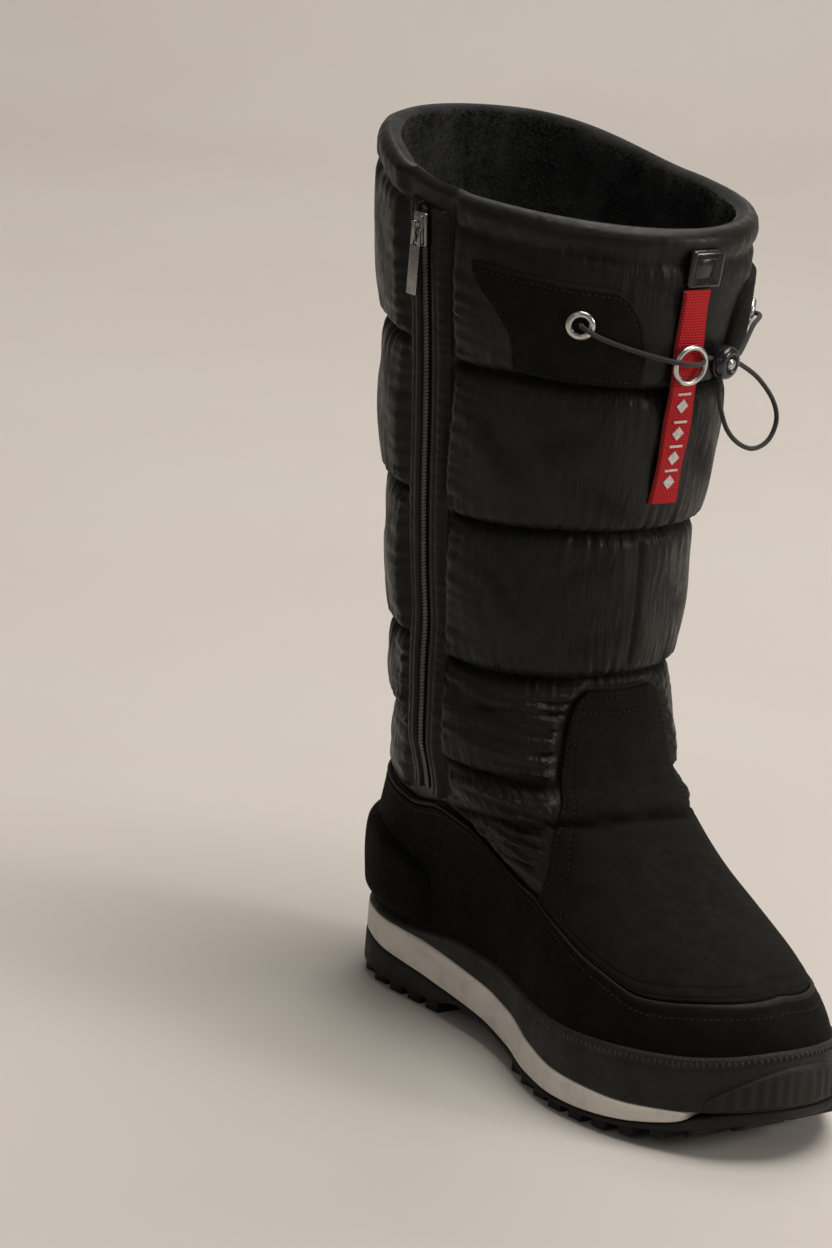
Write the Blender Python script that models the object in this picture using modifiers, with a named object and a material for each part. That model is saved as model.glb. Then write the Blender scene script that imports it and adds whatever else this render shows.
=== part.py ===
"""Quilted snow boot for the left foot, standing on its sole: metres, +Z up, toe towards -Y, outer side +X.

The origin is on the floor under the middle of the heel. One function, skin(), gives every point of the
upper's outer face from an angle round the leg and a level between the sole and the collar. The panels,
patches, zip, cords and the sole's edge all take their place from it.
"""
import math
from collections import namedtuple

import bmesh
import bpy
import numpy as np
from mathutils import Matrix, Vector

# Main sizes of the boot.
SOLE_LENGTH = 0.270
HEEL_REACH = 0.048
BALL_WIDTH = 0.111
HEEL_STACK = 0.027
INSTEP_HEIGHT = 0.118
COLLAR_HEIGHT = 0.347
COLLAR_DEPTH = 0.168
COLLAR_WIDTH = 0.134
COLLAR_RISE = 0.010
SHAFT_SETBACK = 0.018
TOE_INFLARE_DEG = 3.5

# Walls, gaps and puffs.
GAP = 0.0003
FOOT_WALL = 0.004
SHAFT_WALL = 0.0045
PUFF = 0.0048
LIP_RISE = 0.0016
RAND_WALL = 0.0036
RAND_SEAT = 0.0006
RAND_GAP = 0.0014
PANEL = 0.0013
PANEL_GAP = 0.0011
PATCH_GAP = 0.0010
COUNTER_WALL = 0.0026
COUNTER_GAP = 0.0016

# Sole.
BAND_PROUD = 0.0004
OUTSOLE_PROUD = 0.0008
BUMPER_WALL = 0.0020
BUMPER_EMBED = 0.0008
INSOLE_THICKNESS = 0.004
INSOLE_CLEARANCE = 0.0009
LUG_LENGTH = 0.0080
LUG_PITCH = 0.0125
LUG_EMBED = 0.0012
LUG_SPACE = 0.0050
LUG_DRAFT = 0.0007
LUG_REACH = 0.0022
LUG_LEAST = 0.0080
LUG_ROW_WIDE = 0.0500
ARCH_FROM = 0.25
ARCH_TO = 0.50
TREAD_EDGE = 0.0012

# Zip, with its path as angles round the leg by level.
TAPE_WIDTH = 0.0090
TAPE_THICKNESS = 0.0006
TEETH_WIDTH = 0.0030
TEETH_THICKNESS = 0.0009
PLACKET_WIDTH = 0.0066
PLACKET_THICKNESS = 0.0022
SLIDER_LENGTH = 0.0120
SLIDER_WIDTH = 0.0080
SLIDER_THICKNESS = 0.0024
SLIDER_EDGE = 0.0008
BRIDGE_SPAN = 0.0078
BRIDGE_RISE = 0.0030
BRIDGE_WIDTH = 0.0016
BRIDGE_WALL = 0.0010
BRIDGE_EMBED = 0.0006
PULL_LENGTH = 0.0270
PULL_WIDTH = 0.0062
PULL_THICKNESS = 0.0012
PULL_HOLE_LENGTH = 0.0056
PULL_HOLE_WIDTH = 0.0028
PULL_BAR = 0.0012
PULL_EDGE = 0.0004

# Drawcord, its eyelets and lock, and the hanging strap with its ring and tab.
CORD_DIAMETER = 0.0020
EYELET_RADIUS = 0.0060
EYELET_HOLE = 0.0031
EYELET_THICKNESS = 0.0014
EYELET_CHAMFER = 0.0006
EYELET_CROWN = 0.0018
LOCK_RADIUS = 0.0067
LOCK_THICKNESS = 0.0070
RING_RADIUS = 0.0074
RING_WIRE = 0.0011
STRAP_WIDTH = 0.0108
STRAP_THICKNESS = 0.0012
TAB_RADIUS = 0.0058
TAB_WIRE = 0.0017
TAB_STRETCH = 1.2
CORD_LIFT = 0.0032
CORD_CLEAR = 0.0036
CORD_CLEAR_OUTER = 0.0050
CORD_LEAD = 0.0040
CORD_MOUTH_RISE = 0.0015

TOE_REACH = SOLE_LENGTH - HEEL_REACH
COLUMNS = 48
STEP_DEG = 360.0 / COLUMNS

# Half widths of the upper where it meets the sole, as shares of the ball width, by share of the length.
Plan = namedtuple("Plan", "along medial lateral")
PLAN = [
    Plan(0.000, 0.000, 0.000),
    Plan(0.020, 0.150, 0.150),
    Plan(0.070, 0.255, 0.255),
    Plan(0.150, 0.310, 0.310),
    Plan(0.270, 0.315, 0.340),
    Plan(0.400, 0.325, 0.380),
    Plan(0.500, 0.370, 0.420),
    Plan(0.600, 0.450, 0.455),
    Plan(0.690, 0.490, 0.470),
    Plan(0.780, 0.465, 0.455),
    Plan(0.870, 0.385, 0.390),
    Plan(0.940, 0.275, 0.285),
    Plan(0.985, 0.135, 0.150),
    Plan(1.000, 0.000, 0.000),
]

# Heights of the sole's lines above the floor, as shares of the heel stack, by share of the length:
# tread is the floor line of the lugs, root where they grow from, band_low and band_high the pale midsole's
# edges, and rand the top of the rubber rand.
SoleLine = namedtuple("SoleLine", "along tread root band_low band_high rand")
SOLE_LINES = [
    SoleLine(0.00, 0.06, 0.20, 0.70, 1.13, 1.24),
    SoleLine(0.08, 0.00, 0.15, 0.66, 1.11, 1.22),
    SoleLine(0.18, 0.00, 0.15, 0.57, 1.08, 1.20),
    SoleLine(0.27, 0.00, 0.18, 0.49, 1.03, 1.28),
    SoleLine(0.34, 0.00, 0.33, 0.44, 0.97, 1.36),
    SoleLine(0.44, 0.00, 0.26, 0.35, 0.88, 1.35),
    SoleLine(0.53, 0.00, 0.17, 0.28, 0.80, 1.31),
    SoleLine(0.62, 0.00, 0.14, 0.23, 0.68, 1.32),
    SoleLine(0.72, 0.00, 0.14, 0.22, 0.60, 1.33),
    SoleLine(0.80, 0.05, 0.19, 0.28, 0.58, 1.37),
    SoleLine(0.88, 0.18, 0.32, 0.44, 0.64, 1.43),
    SoleLine(0.94, 0.38, 0.50, 0.72, 0.72, 1.54),
    SoleLine(1.00, 0.64, 0.72, 0.86, 0.86, 1.74),
]

# Sections of the foot, by level between the sole (0) and the instep (1). Front is a share of the toe's
# reach, back of the heel's reach, width of the collar's width.
FootSection = namedtuple("FootSection", "level front back width tilt")
FOOT_SECTIONS = [
    FootSection(0.00, 1.000, 0.93, 0.58, 0.000),
    FootSection(0.14, 0.998, 0.98, 0.59, 0.000),
    FootSection(0.26, 0.988, 1.01, 0.60, 0.000),
    FootSection(0.36, 0.948, 1.02, 0.61, 0.005),
    FootSection(0.45, 0.872, 1.00, 0.63, 0.012),
    FootSection(0.56, 0.765, 0.96, 0.66, 0.025),
    FootSection(0.68, 0.655, 0.90, 0.69, 0.042),
    FootSection(0.82, 0.545, 0.83, 0.72, 0.062),
    FootSection(0.93, 0.475, 0.79, 0.74, 0.076),
]

# Sections of the shaft, by level between the instep (1) and the collar (2). Middle is a share of the
# shaft's setback, depth and width are shares of the collar's.
ShaftSection = namedtuple("ShaftSection", "level middle depth width tilt")
SHAFT_SECTIONS = [
    ShaftSection(1.048, 1.48, 0.745, 0.755, 0.085),
    ShaftSection(1.190, 1.16, 0.722, 0.755, 0.094),
    ShaftSection(1.320, 1.04, 0.755, 0.790, 0.098),
    ShaftSection(1.453, 1.02, 0.795, 0.835, 0.098),
    ShaftSection(1.590, 1.04, 0.845, 0.875, 0.095),
    ShaftSection(1.716, 1.06, 0.900, 0.915, 0.090),
    ShaftSection(1.860, 1.02, 0.950, 0.958, 0.080),
    ShaftSection(2.000, 1.00, 1.000, 1.000, 0.065),
]

# The zip's line, as its angle by level. The quilting lies flat this far to each side of it.
ZipPoint = namedtuple("ZipPoint", "level angle")
ZIP_PATH = [
    ZipPoint(0.70, -112.0),
    ZipPoint(0.88, -102.0),
    ZipPoint(1.05, -96.5),
    ZipPoint(1.25, -92.5),
    ZipPoint(1.60, -92.0),
    ZipPoint(2.00, -93.0),
]
ZIP_BOTTOM = 0.78
ZIP_TOP = 1.972
ZIP_FLAT = 15.0
PLACKET_RUN = 0.02

# Upper edge of the mudguard, as its level by angle from the toe, the same on both sides.
GuardPoint = namedtuple("GuardPoint", "angle level")
GUARD_EDGE = [
    GuardPoint(0, 0.395),
    GuardPoint(28, 0.370),
    GuardPoint(47, 0.352),
    GuardPoint(58, 0.400),
    GuardPoint(68, 0.460),
    GuardPoint(76, 0.515),
    GuardPoint(84, 0.600),
    GuardPoint(92, 0.695),
    GuardPoint(104, 0.715),
    GuardPoint(122, 0.660),
    GuardPoint(150, 0.670),
    GuardPoint(180, 0.700),
]

# Half width of the vamp panel, as its angle by level.
VampPoint = namedtuple("VampPoint", "level angle")
VAMP_SIDE = [
    VampPoint(0.340, 80.0),
    VampPoint(0.500, 77.0),
    VampPoint(0.584, 71.0),
    VampPoint(0.660, 64.5),
    VampPoint(0.740, 58.0),
    VampPoint(0.836, 49.5),
    VampPoint(0.956, 38.0),
    VampPoint(1.036, 33.0),
    VampPoint(1.100, 29.0),
    VampPoint(1.145, 24.5),
    VampPoint(1.176, 18.0),
]
VAMP_TOP = 1.176

# Edges of an eyelet patch, as angles from the front by level.
PatchPoint = namedtuple("PatchPoint", "level near far")
PATCH_EDGES = [
    PatchPoint(1.738, 17.0, 58.0),
    PatchPoint(1.790, 16.5, 59.0),
    PatchPoint(1.840, 18.0, 65.0),
    PatchPoint(1.885, 22.0, 72.0),
    PatchPoint(1.912, 29.0, 73.0),
]

# Where the small pieces sit: an angle and a level.
EYELET_ANGLE = 38.0
EYELET_LEVEL = 1.845
TAB_LEVEL = 1.952
STRAP_TOP = 1.918
STRAP_BOTTOM = 1.532
RING_LEVEL = 1.790
LOCK_ANGLE = 15.0
LOCK_LEVEL = 1.790
EYELET_EXIT = 1.2
CORD_WAY_INNER = [(-31.0, 1.827), (-20.0, 1.810)]
CORD_WAY_CENTRE = [(-8.0, 1.798), (0.0, 1.794)]
CORD_WAY_OUTER = (30.0, 1.833)
SLIDER_LEVEL = 1.930

# Reach of the midsole band, of the bumper at the toe and of the counter at the heel.
BAND_END = 0.912
BUMPER_TURN = 30.0
BUMPER_SHARE = 0.74
COUNTER_TURN = 60.0
COUNTER_TOP = 0.470

# The cord's loop, from the lock's outer side round and back to its underside: across, up and out from
# the middle of the lock's face.
LOOP_ROUTE = [
    (0.0079, -0.0010, 0.0000),
    (0.0130, -0.0030, 0.0005),
    (0.0220, -0.0085, 0.0030),
    (0.0300, -0.0170, 0.0060),
    (0.0330, -0.0250, 0.0075),
    (0.0300, -0.0325, 0.0075),
    (0.0230, -0.0355, 0.0060),
    (0.0150, -0.0330, 0.0040),
    (0.0080, -0.0270, 0.0020),
    (0.0030, -0.0180, 0.0005),
    (0.0010, -0.0120, 0.0000),
    (0.0005, -0.0079, 0.0000),
]

# The lock's turned face, as shares of its radius and thickness.
LOCK_PROFILE = [(0.84, 0.0), (1.0, 0.18), (1.0, 0.70), (0.86, 0.94), (0.60, 1.0), (0.50, 0.80), (0.20, 0.80)]
LOCK_MOUTH = 0.40
BOX_FACES = [(0, 1, 2, 3), (7, 6, 5, 4), (0, 4, 5, 1), (1, 5, 6, 2), (2, 6, 7, 3), (3, 7, 4, 0)]

# Levels of the quilting seams, from the ankle up. The last is the collar's edge.
SEAMS = [1.048, 1.192, 1.453, 1.716, 2.000]
PUFF_STEPS = [0.0, 0.12, 0.42, 0.82]
FOOT_LEVELS = [0.0, 0.10, 0.20, 0.29, 0.37, 0.45, 0.54, 0.64, 0.74, 0.84, 0.94]
INNER_LEVELS = [0.0, 0.14, 0.27, 0.36, 0.45, 0.57, 0.71, 0.86, 1.02, 1.20, 1.60, 2.0]


def smooth_step(low, high, x):
    """0 below low, 1 above high, and a soft turn between."""
    t = min(1.0, max(0.0, (x - low) / (high - low)))
    return t * t * (3 - 2 * t)


def along_curve(xs, ys, x):
    """Reads a smooth curve through the points (xs, ys) at x, without overshoot between them."""
    x = min(xs[-1], max(xs[0], x))
    i = max(0, min(len(xs) - 2, int(np.searchsorted(xs, x, side="right")) - 1))
    widths = [xs[k + 1] - xs[k] for k in range(len(xs) - 1)]
    rises = [(ys[k + 1] - ys[k]) / widths[k] for k in range(len(xs) - 1)]

    def slope(k):
        if k == 0 or k == len(xs) - 1:
            return rises[min(k, len(rises) - 1)]
        a, b = rises[k - 1], rises[k]
        return 0.0 if a * b <= 0 else 2 * a * b / (a + b)

    h = widths[i]
    t = (x - xs[i]) / h
    return (
        (1 + 2 * t) * (1 - t) ** 2 * ys[i]
        + t * (1 - t) ** 2 * h * slope(i)
        + t * t * (3 - 2 * t) * ys[i + 1]
        + t * t * (t - 1) * h * slope(i + 1)
    )


def column(table, name):
    return [getattr(row, name) for row in table]


def sole_height(line, y):
    """Height above the floor of one of the sole's lines at a place along the boot."""
    along = (HEEL_REACH - y) / SOLE_LENGTH
    return HEEL_STACK * along_curve(column(SOLE_LINES, "along"), column(SOLE_LINES, line), along)


FEATHER_INSET = RAND_WALL + GAP
FEATHER_LENGTH = SOLE_LENGTH - 2 * FEATHER_INSET
FEATHER_HEIGHT = HEEL_STACK * 0.9 + GAP


def section_table():
    """Levels with the front, back, half width and tilt of the upper's section at each."""
    rows = []
    for s in FOOT_SECTIONS:
        front = -s.front * (TOE_REACH - FEATHER_INSET)
        rows.append((s.level, front, s.back * HEEL_REACH, s.width * COLLAR_WIDTH / 2, s.tilt))
    for s in SHAFT_SECTIONS:
        middle = -s.middle * SHAFT_SETBACK
        half = s.depth * COLLAR_DEPTH / 2
        rows.append((s.level, middle - half, middle + half, s.width * COLLAR_WIDTH / 2, s.tilt))
    return [list(c) for c in zip(*rows)]


LEVELS, FRONTS, BACKS, HALF_WIDTHS, TILTS = section_table()
PLAN_TURNS = [math.acos(1 - 2 * p.along) for p in PLAN]
# The ridge of the instep, from the toe up, for the sections across the foot.
RIDGE = sorted((f, level) for level, f in zip(LEVELS, FRONTS) if level < 1.1)
RIDGE_FRONTS = [f for f, _ in RIDGE]
RIDGE_LEVELS = [level for _, level in RIDGE]
RIDGE_ROUNDNESS = 2.3


def plan_half_width(side, y):
    """Half width of the upper's lower edge at y, from the foot's centre line."""
    along = min(1.0, max(0.0, (HEEL_REACH - FEATHER_INSET - y) / FEATHER_LENGTH))
    turn = math.acos(1 - 2 * along)
    return BALL_WIDTH * along_curve(PLAN_TURNS, column(PLAN, side), turn)


def centre_line(y):
    """How far the foot's centre line has swung to the inner side at y."""
    start = HEEL_REACH - 0.25 * SOLE_LENGTH
    return -math.tan(math.radians(TOE_INFLARE_DEG)) * max(0.0, start - y)


def base_height(level, y):
    """Height of the upper's skin at a level: along the sole's top at 0, a tilted plane higher up."""
    if level <= 1:
        height = FEATHER_HEIGHT + level * (INSTEP_HEIGHT - FEATHER_HEIGHT)
    else:
        height = INSTEP_HEIGHT + (level - 1) * (COLLAR_HEIGHT - INSTEP_HEIGHT)
    follow = 1 - smooth_step(0.0, 0.6, level)
    sole = sole_height("band_high", y) + GAP - FEATHER_HEIGHT
    tilt = along_curve(LEVELS, TILTS, level)
    back = (y + SHAFT_SETBACK) / (COLLAR_DEPTH / 2)
    rise = COLLAR_RISE * smooth_step(1.75, 2.0, level) * smooth_step(0.0, 0.9, back)
    return height + follow * sole + tilt * (y + SHAFT_SETBACK) + rise


def base_point(angle, level):
    """A point of the skin without its normal offset. Angle is 0 at the front, 180 at the back, and
    negative on the inner side."""
    side = "medial" if angle < 0 else "lateral"
    turn = math.radians(abs(angle))
    front = along_curve(LEVELS, FRONTS, level)
    back = along_curve(LEVELS, BACKS, level)
    middle = (front + back) / 2
    half = (back - front) / 2
    y = middle - half * math.cos(turn)
    # The foot: its plan, drawn in over the ridge of the instep, with its back end moved to this section's.
    sole_back = HEEL_REACH - FEATHER_INSET
    foot_y = y + (sole_back - back) * smooth_step(0.45, 1.0, (1 - math.cos(turn)) / 2)
    ridge = along_curve(RIDGE_FRONTS, RIDGE_LEVELS, y) if y < RIDGE_FRONTS[-1] else 9.0
    share = min(1.0, level / max(ridge, 1e-6)) if level > 0 else 0.0
    foot = plan_half_width(side, foot_y) * (1 - share**RIDGE_ROUNDNESS) ** (1 / RIDGE_ROUNDNESS)
    # The leg: an ellipse.
    leg = along_curve(LEVELS, HALF_WIDTHS, level) * math.sin(turn)
    blend = smooth_step(0.25, 1.08, level)
    half_width = 0.0 if abs(math.sin(turn)) < 1e-9 else (1 - blend) * foot + blend * leg
    x = centre_line(y) * (1 - blend) + half_width * (1 if angle >= 0 else -1)
    return Vector((x, y, base_height(level, y)))


def zip_angle(level):
    """Angle of the zip's line round the leg."""
    return along_curve(column(ZIP_PATH, "level"), column(ZIP_PATH, "angle"), level)


def wrap(angle):
    """The same angle between -180 and 180."""
    return (angle + 180.0) % 360.0 - 180.0


def skin_normal(angle, level):
    """Outward normal of the skin, from points a small step away."""
    turn_step, level_step = 1.5, 0.012
    low, high = max(0.0, level - level_step), min(2.0, level + level_step)
    around = base_point(wrap(angle + turn_step), level) - base_point(wrap(angle - turn_step), level)
    up = base_point(angle, high) - base_point(angle, low)
    return around.cross(up).normalized()


def puff(angle, level):
    """How far the quilting stands out: a pillow between two seams, none beside the zip or on the foot."""
    if level <= SEAMS[0]:
        return 0.0
    for low, high in zip(SEAMS, SEAMS[1:]):
        if low <= level <= high:
            t = (level - low) / (high - low)
            rise = math.sin(math.pi * t) ** 0.62 if 0 < t < 1 else 0.0
            top_edge = 0.35 if high == SEAMS[-1] and t > 0.8 else 0.0
            rise = max(rise, top_edge)
            break
    zip_side = smooth_step(ZIP_FLAT, ZIP_FLAT + 16.0, abs(wrap(angle - zip_angle(level))))
    vamp_side = smooth_step(26.0, 40.0, abs(angle)) if level < SEAMS[1] else 1.0
    return PUFF * rise * zip_side * vamp_side


def skin(angle, level, out=0.0):
    """A point of the upper's outer face, moved outwards by out."""
    return base_point(angle, level) + skin_normal(angle, level) * (puff(angle, level) + out)


def angles():
    """The columns' angles, from the back round the inner side, the toe and the outer side."""
    return [wrap(-180.0 + STEP_DEG * k) for k in range(COLUMNS)]


def upper_levels():
    """Levels of the upper's rings, closest together where the quilting turns in to a seam."""
    levels = list(FOOT_LEVELS)
    for low, high in zip(SEAMS, SEAMS[1:]):
        levels += [low + (high - low) * step for step in PUFF_STEPS]
    return levels + [SEAMS[-1]]


UPPER_LEVELS = upper_levels()
UPPER_RINGS = [[skin(a, level) for a in angles()] for level in UPPER_LEVELS]


def facet(angle, level, out):
    """A point on the upper's own flats between its rings and columns, moved outwards by out."""
    r = max(0, min(len(UPPER_LEVELS) - 2, int(np.searchsorted(UPPER_LEVELS, level, side="right")) - 1))
    up = (level - UPPER_LEVELS[r]) / (UPPER_LEVELS[r + 1] - UPPER_LEVELS[r])
    turn = ((angle + 180.0) % 360.0) / STEP_DEG
    c = int(turn) % COLUMNS
    side = turn - int(turn)
    d = (c + 1) % COLUMNS
    low = UPPER_RINGS[r][c].lerp(UPPER_RINGS[r][d], side)
    high = UPPER_RINGS[r + 1][c].lerp(UPPER_RINGS[r + 1][d], side)
    return low.lerp(high, up) + skin_normal(angle, level) * out


def level_at(angle, height):
    """The level at which the skin is this high, found by halving."""
    low, high = 0.0, 2.0
    for _ in range(24):
        middle = (low + high) / 2
        if base_point(angle, middle).z < height:
            low = middle
        else:
            high = middle
    return (low + high) / 2


def turn_for(angle, level, distance):
    """Degrees round the leg that a distance along the skin takes."""
    step = 2.0
    chord = (base_point(wrap(angle + step), level) - base_point(wrap(angle - step), level)).length
    return distance * 2 * step / chord


def skin_frame(angle, level, out=0.0):
    """A matrix seated on the skin: its X runs level along it, its Z points outwards, its Y up along it."""
    normal = skin_normal(angle, level)
    across = Vector((0, 0, 1)).cross(normal).normalized()
    up = normal.cross(across)
    matrix = Matrix((across, up, normal)).transposed().to_4x4()
    matrix.translation = skin(angle, level, out)
    return matrix


def new_material(name, colour, roughness, metallic=0.0):
    material = bpy.data.materials.new(name)
    material.use_nodes = True
    shader = material.node_tree.nodes["Principled BSDF"]
    shader.inputs["Base Color"].default_value = (*colour, 1.0)
    shader.inputs["Roughness"].default_value = roughness
    shader.inputs["Metallic"].default_value = metallic
    return material


def add_object(name, data, collection, material):
    """Puts a mesh or curve into the model under its node's name."""
    obj = bpy.data.objects.new(name, data)
    collection.objects.link(obj)
    data.materials.append(material)
    return obj


def mesh_from(name, points, faces):
    mesh = bpy.data.meshes.new(name)
    mesh.from_pydata([tuple(p) for p in points], [], faces)
    bm = bmesh.new()
    bm.from_mesh(mesh)
    bmesh.ops.recalc_face_normals(bm, faces=bm.faces)
    bm.to_mesh(mesh)
    bm.free()
    return mesh


def ring_faces(rows, columns, closed_rows=False):
    """Quads between rings of points that close on themselves."""
    faces = []
    last = rows if closed_rows else rows - 1
    for r in range(last):
        for c in range(columns):
            d = (c + 1) % columns
            s = (r + 1) % rows
            faces.append((r * columns + c, r * columns + d, s * columns + d, s * columns + c))
    return faces


def grid_faces(rows, columns):
    """Quads between rows of points that end at both sides."""
    faces = []
    for r in range(rows - 1):
        for c in range(columns - 1):
            k = r * columns + c
            faces.append((k, k + 1, k + columns + 1, k + columns))
    return faces


def solidify(obj, thickness):
    """Gives an open surface its wall, outwards."""
    wall = obj.modifiers.new("Wall", "SOLIDIFY")
    wall.thickness = thickness
    wall.offset = 1.0
    return wall


def shell_round(name, low, high, rows, inner, thickness, collection, material):
    """A shell all the way round the boot, between two levels given by angle."""
    points = []
    for r in range(rows):
        for angle in angles():
            level = low(angle) + (high(angle) - low(angle)) * r / (rows - 1)
            points.append(facet(angle, level, inner))
    mesh = mesh_from(name, points, ring_faces(rows, COLUMNS))
    obj = add_object(name, mesh, collection, material)
    solidify(obj, thickness)
    return obj


def shell_patch(name, place, rows, columns, inner, thickness, collection, material):
    """A shell over a patch of the skin. place gives angle and level from two shares, across and up."""
    points = []
    for r in range(rows):
        for c in range(columns):
            angle, level = place(c / (columns - 1), r / (rows - 1))
            points.append(facet(angle, level, inner))
    mesh = mesh_from(name, points, grid_faces(rows, columns))
    if mesh.polygons[len(mesh.polygons) // 2].normal.dot(skin_normal(*place(0.5, 0.5))) < 0:
        mesh.flip_normals()
    obj = add_object(name, mesh, collection, material)
    solidify(obj, thickness)
    return obj


def sole_point(angle, out):
    """A point of the sole's outline, seen from above, out from the upper's lower edge."""
    point = base_point(angle, 0.0)
    normal = skin_normal(angle, 0.0)
    normal.z = 0
    return point + normal.normalized() * out


def plate(name, rings, collection, material):
    """A closed plate through rings of (line, out, lift), with its flat sides filled across the foot."""
    points = []
    for line, out, lift in rings:
        for angle in angles():
            p = sole_point(angle, out)
            points.append((p.x, p.y, sole_height(line, base_point(angle, 0.0).y) + lift))
    faces = ring_faces(len(rings), COLUMNS)
    half = COLUMNS // 2
    for base in (0, (len(rings) - 1) * COLUMNS):
        faces.append((base, base + 1, base + COLUMNS - 1))
        faces.append((base + half - 1, base + half, base + half + 1))
        for k in range(1, half - 1):
            faces.append((base + k, base + k + 1, base + COLUMNS - k - 1, base + COLUMNS - k))
    return add_object(name, mesh_from(name, points, faces), collection, material)


def boolean(obj, operation, other):
    """Cuts or joins with another object, which becomes a hidden cutter."""
    change = obj.modifiers.new(operation.title(), "BOOLEAN")
    change.operation = operation
    change.solver = "EXACT"
    change.object = other
    other.hide_render = True
    other.display_type = "WIRE"


def box_mesh(name, size, centre=(0, 0, 0)):
    mesh = bpy.data.meshes.new(name)
    bm = bmesh.new()
    bmesh.ops.create_cube(bm, size=1.0)
    bmesh.ops.scale(bm, vec=size, verts=bm.verts)
    bmesh.ops.translate(bm, vec=centre, verts=bm.verts)
    bm.to_mesh(mesh)
    bm.free()
    return mesh


def make_upper(collection, material):
    """The quilted upper: one wall, puffed outside and smooth inside, open at the collar and underneath."""
    rings = UPPER_RINGS
    inner = []
    for level in INNER_LEVELS:
        wall = FOOT_WALL + (SHAFT_WALL - FOOT_WALL) * smooth_step(0.8, 1.2, level)
        inner.append([base_point(a, level) - skin_normal(a, level) * wall for a in angles()])
    lip = [(outer + inside) / 2 + Vector((0, 0, LIP_RISE)) for outer, inside in zip(rings[-1], inner[-1])]
    loop = rings + [lip] + inner[::-1]
    points = [p for ring in loop for p in ring]
    mesh = mesh_from("upper", points, ring_faces(len(loop), COLUMNS, True))
    return add_object("upper", mesh, collection, material)


def make_lugs(cutters, material):
    """Rows of blocks under the heel and the forefoot, one mesh that is joined to the outsole."""
    bm = bmesh.new()
    y = HEEL_REACH - LUG_SPACE
    while y > -TOE_REACH + LUG_SPACE + LUG_LENGTH:
        along = (HEEL_REACH - y) / SOLE_LENGTH
        if not ARCH_FROM < along < ARCH_TO:
            medial = centre_line(y) - plan_half_width("medial", y - LUG_LENGTH / 2) - LUG_REACH
            lateral = centre_line(y) + plan_half_width("lateral", y - LUG_LENGTH / 2) + LUG_REACH
            count = 3 if lateral - medial > LUG_ROW_WIDE else 2
            width = (lateral - medial - LUG_SPACE * (count - 1)) / count
            for k in range(count):
                left = medial + k * (width + LUG_SPACE)
                if width < LUG_LEAST:
                    continue
                corners = []
                for z_line, lift, inset in (("tread", 0.0, LUG_DRAFT), ("root", LUG_EMBED, 0.0)):
                    for x, yy in (
                        (left + inset, y - inset),
                        (left + width - inset, y - inset),
                        (left + width - inset, y - LUG_LENGTH + inset),
                        (left + inset, y - LUG_LENGTH + inset),
                    ):
                        corners.append(bm.verts.new((x, yy, sole_height(z_line, yy) + lift)))
                for ids in BOX_FACES:
                    bm.faces.new([corners[i] for i in ids])
        y -= LUG_PITCH
    bmesh.ops.recalc_face_normals(bm, faces=bm.faces)
    mesh = bpy.data.meshes.new("lugs")
    bm.to_mesh(mesh)
    bm.free()
    return add_object("lugs", mesh, cutters, material)


def make_sole(collection, cutters, rubber, foam, insole_cloth):
    """Outsole with its lugs, the pale midsole above it, and the insole inside the upper."""
    outer = RAND_WALL + OUTSOLE_PROUD
    rings = [
        ("root", outer - TREAD_EDGE, 0.0),
        ("root", outer, TREAD_EDGE),
        ("band_low", outer, -GAP),
    ]
    outsole = plate("outsole", rings, collection, rubber)
    boolean(outsole, "UNION", make_lugs(cutters, rubber))

    outer = RAND_WALL + BAND_PROUD
    rings = [("band_low", outer, 0.0), ("band_high", outer, 0.0)]
    midsole = plate("midsole", rings, collection, foam)
    front = HEEL_REACH - BAND_END * SOLE_LENGTH
    block = box_mesh("midsole_end", (BALL_WIDTH * 2, SOLE_LENGTH, 0.1), (0, front - SOLE_LENGTH / 2, 0))
    boolean(midsole, "DIFFERENCE", add_object("midsole_end", block, cutters, foam))

    inset = -(FOOT_WALL + INSOLE_CLEARANCE)
    rings = [("band_high", inset, GAP), ("band_high", inset, GAP + INSOLE_THICKNESS)]
    plate("insole", rings, collection, insole_cloth)


def guard_level(angle):
    return along_curve(column(GUARD_EDGE, "angle"), column(GUARD_EDGE, "level"), abs(angle))


def rand_level(angle):
    """Level of the rand's top edge at an angle."""
    return level_at(angle, sole_height("rand", base_point(angle, 0.0).y))


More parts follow.
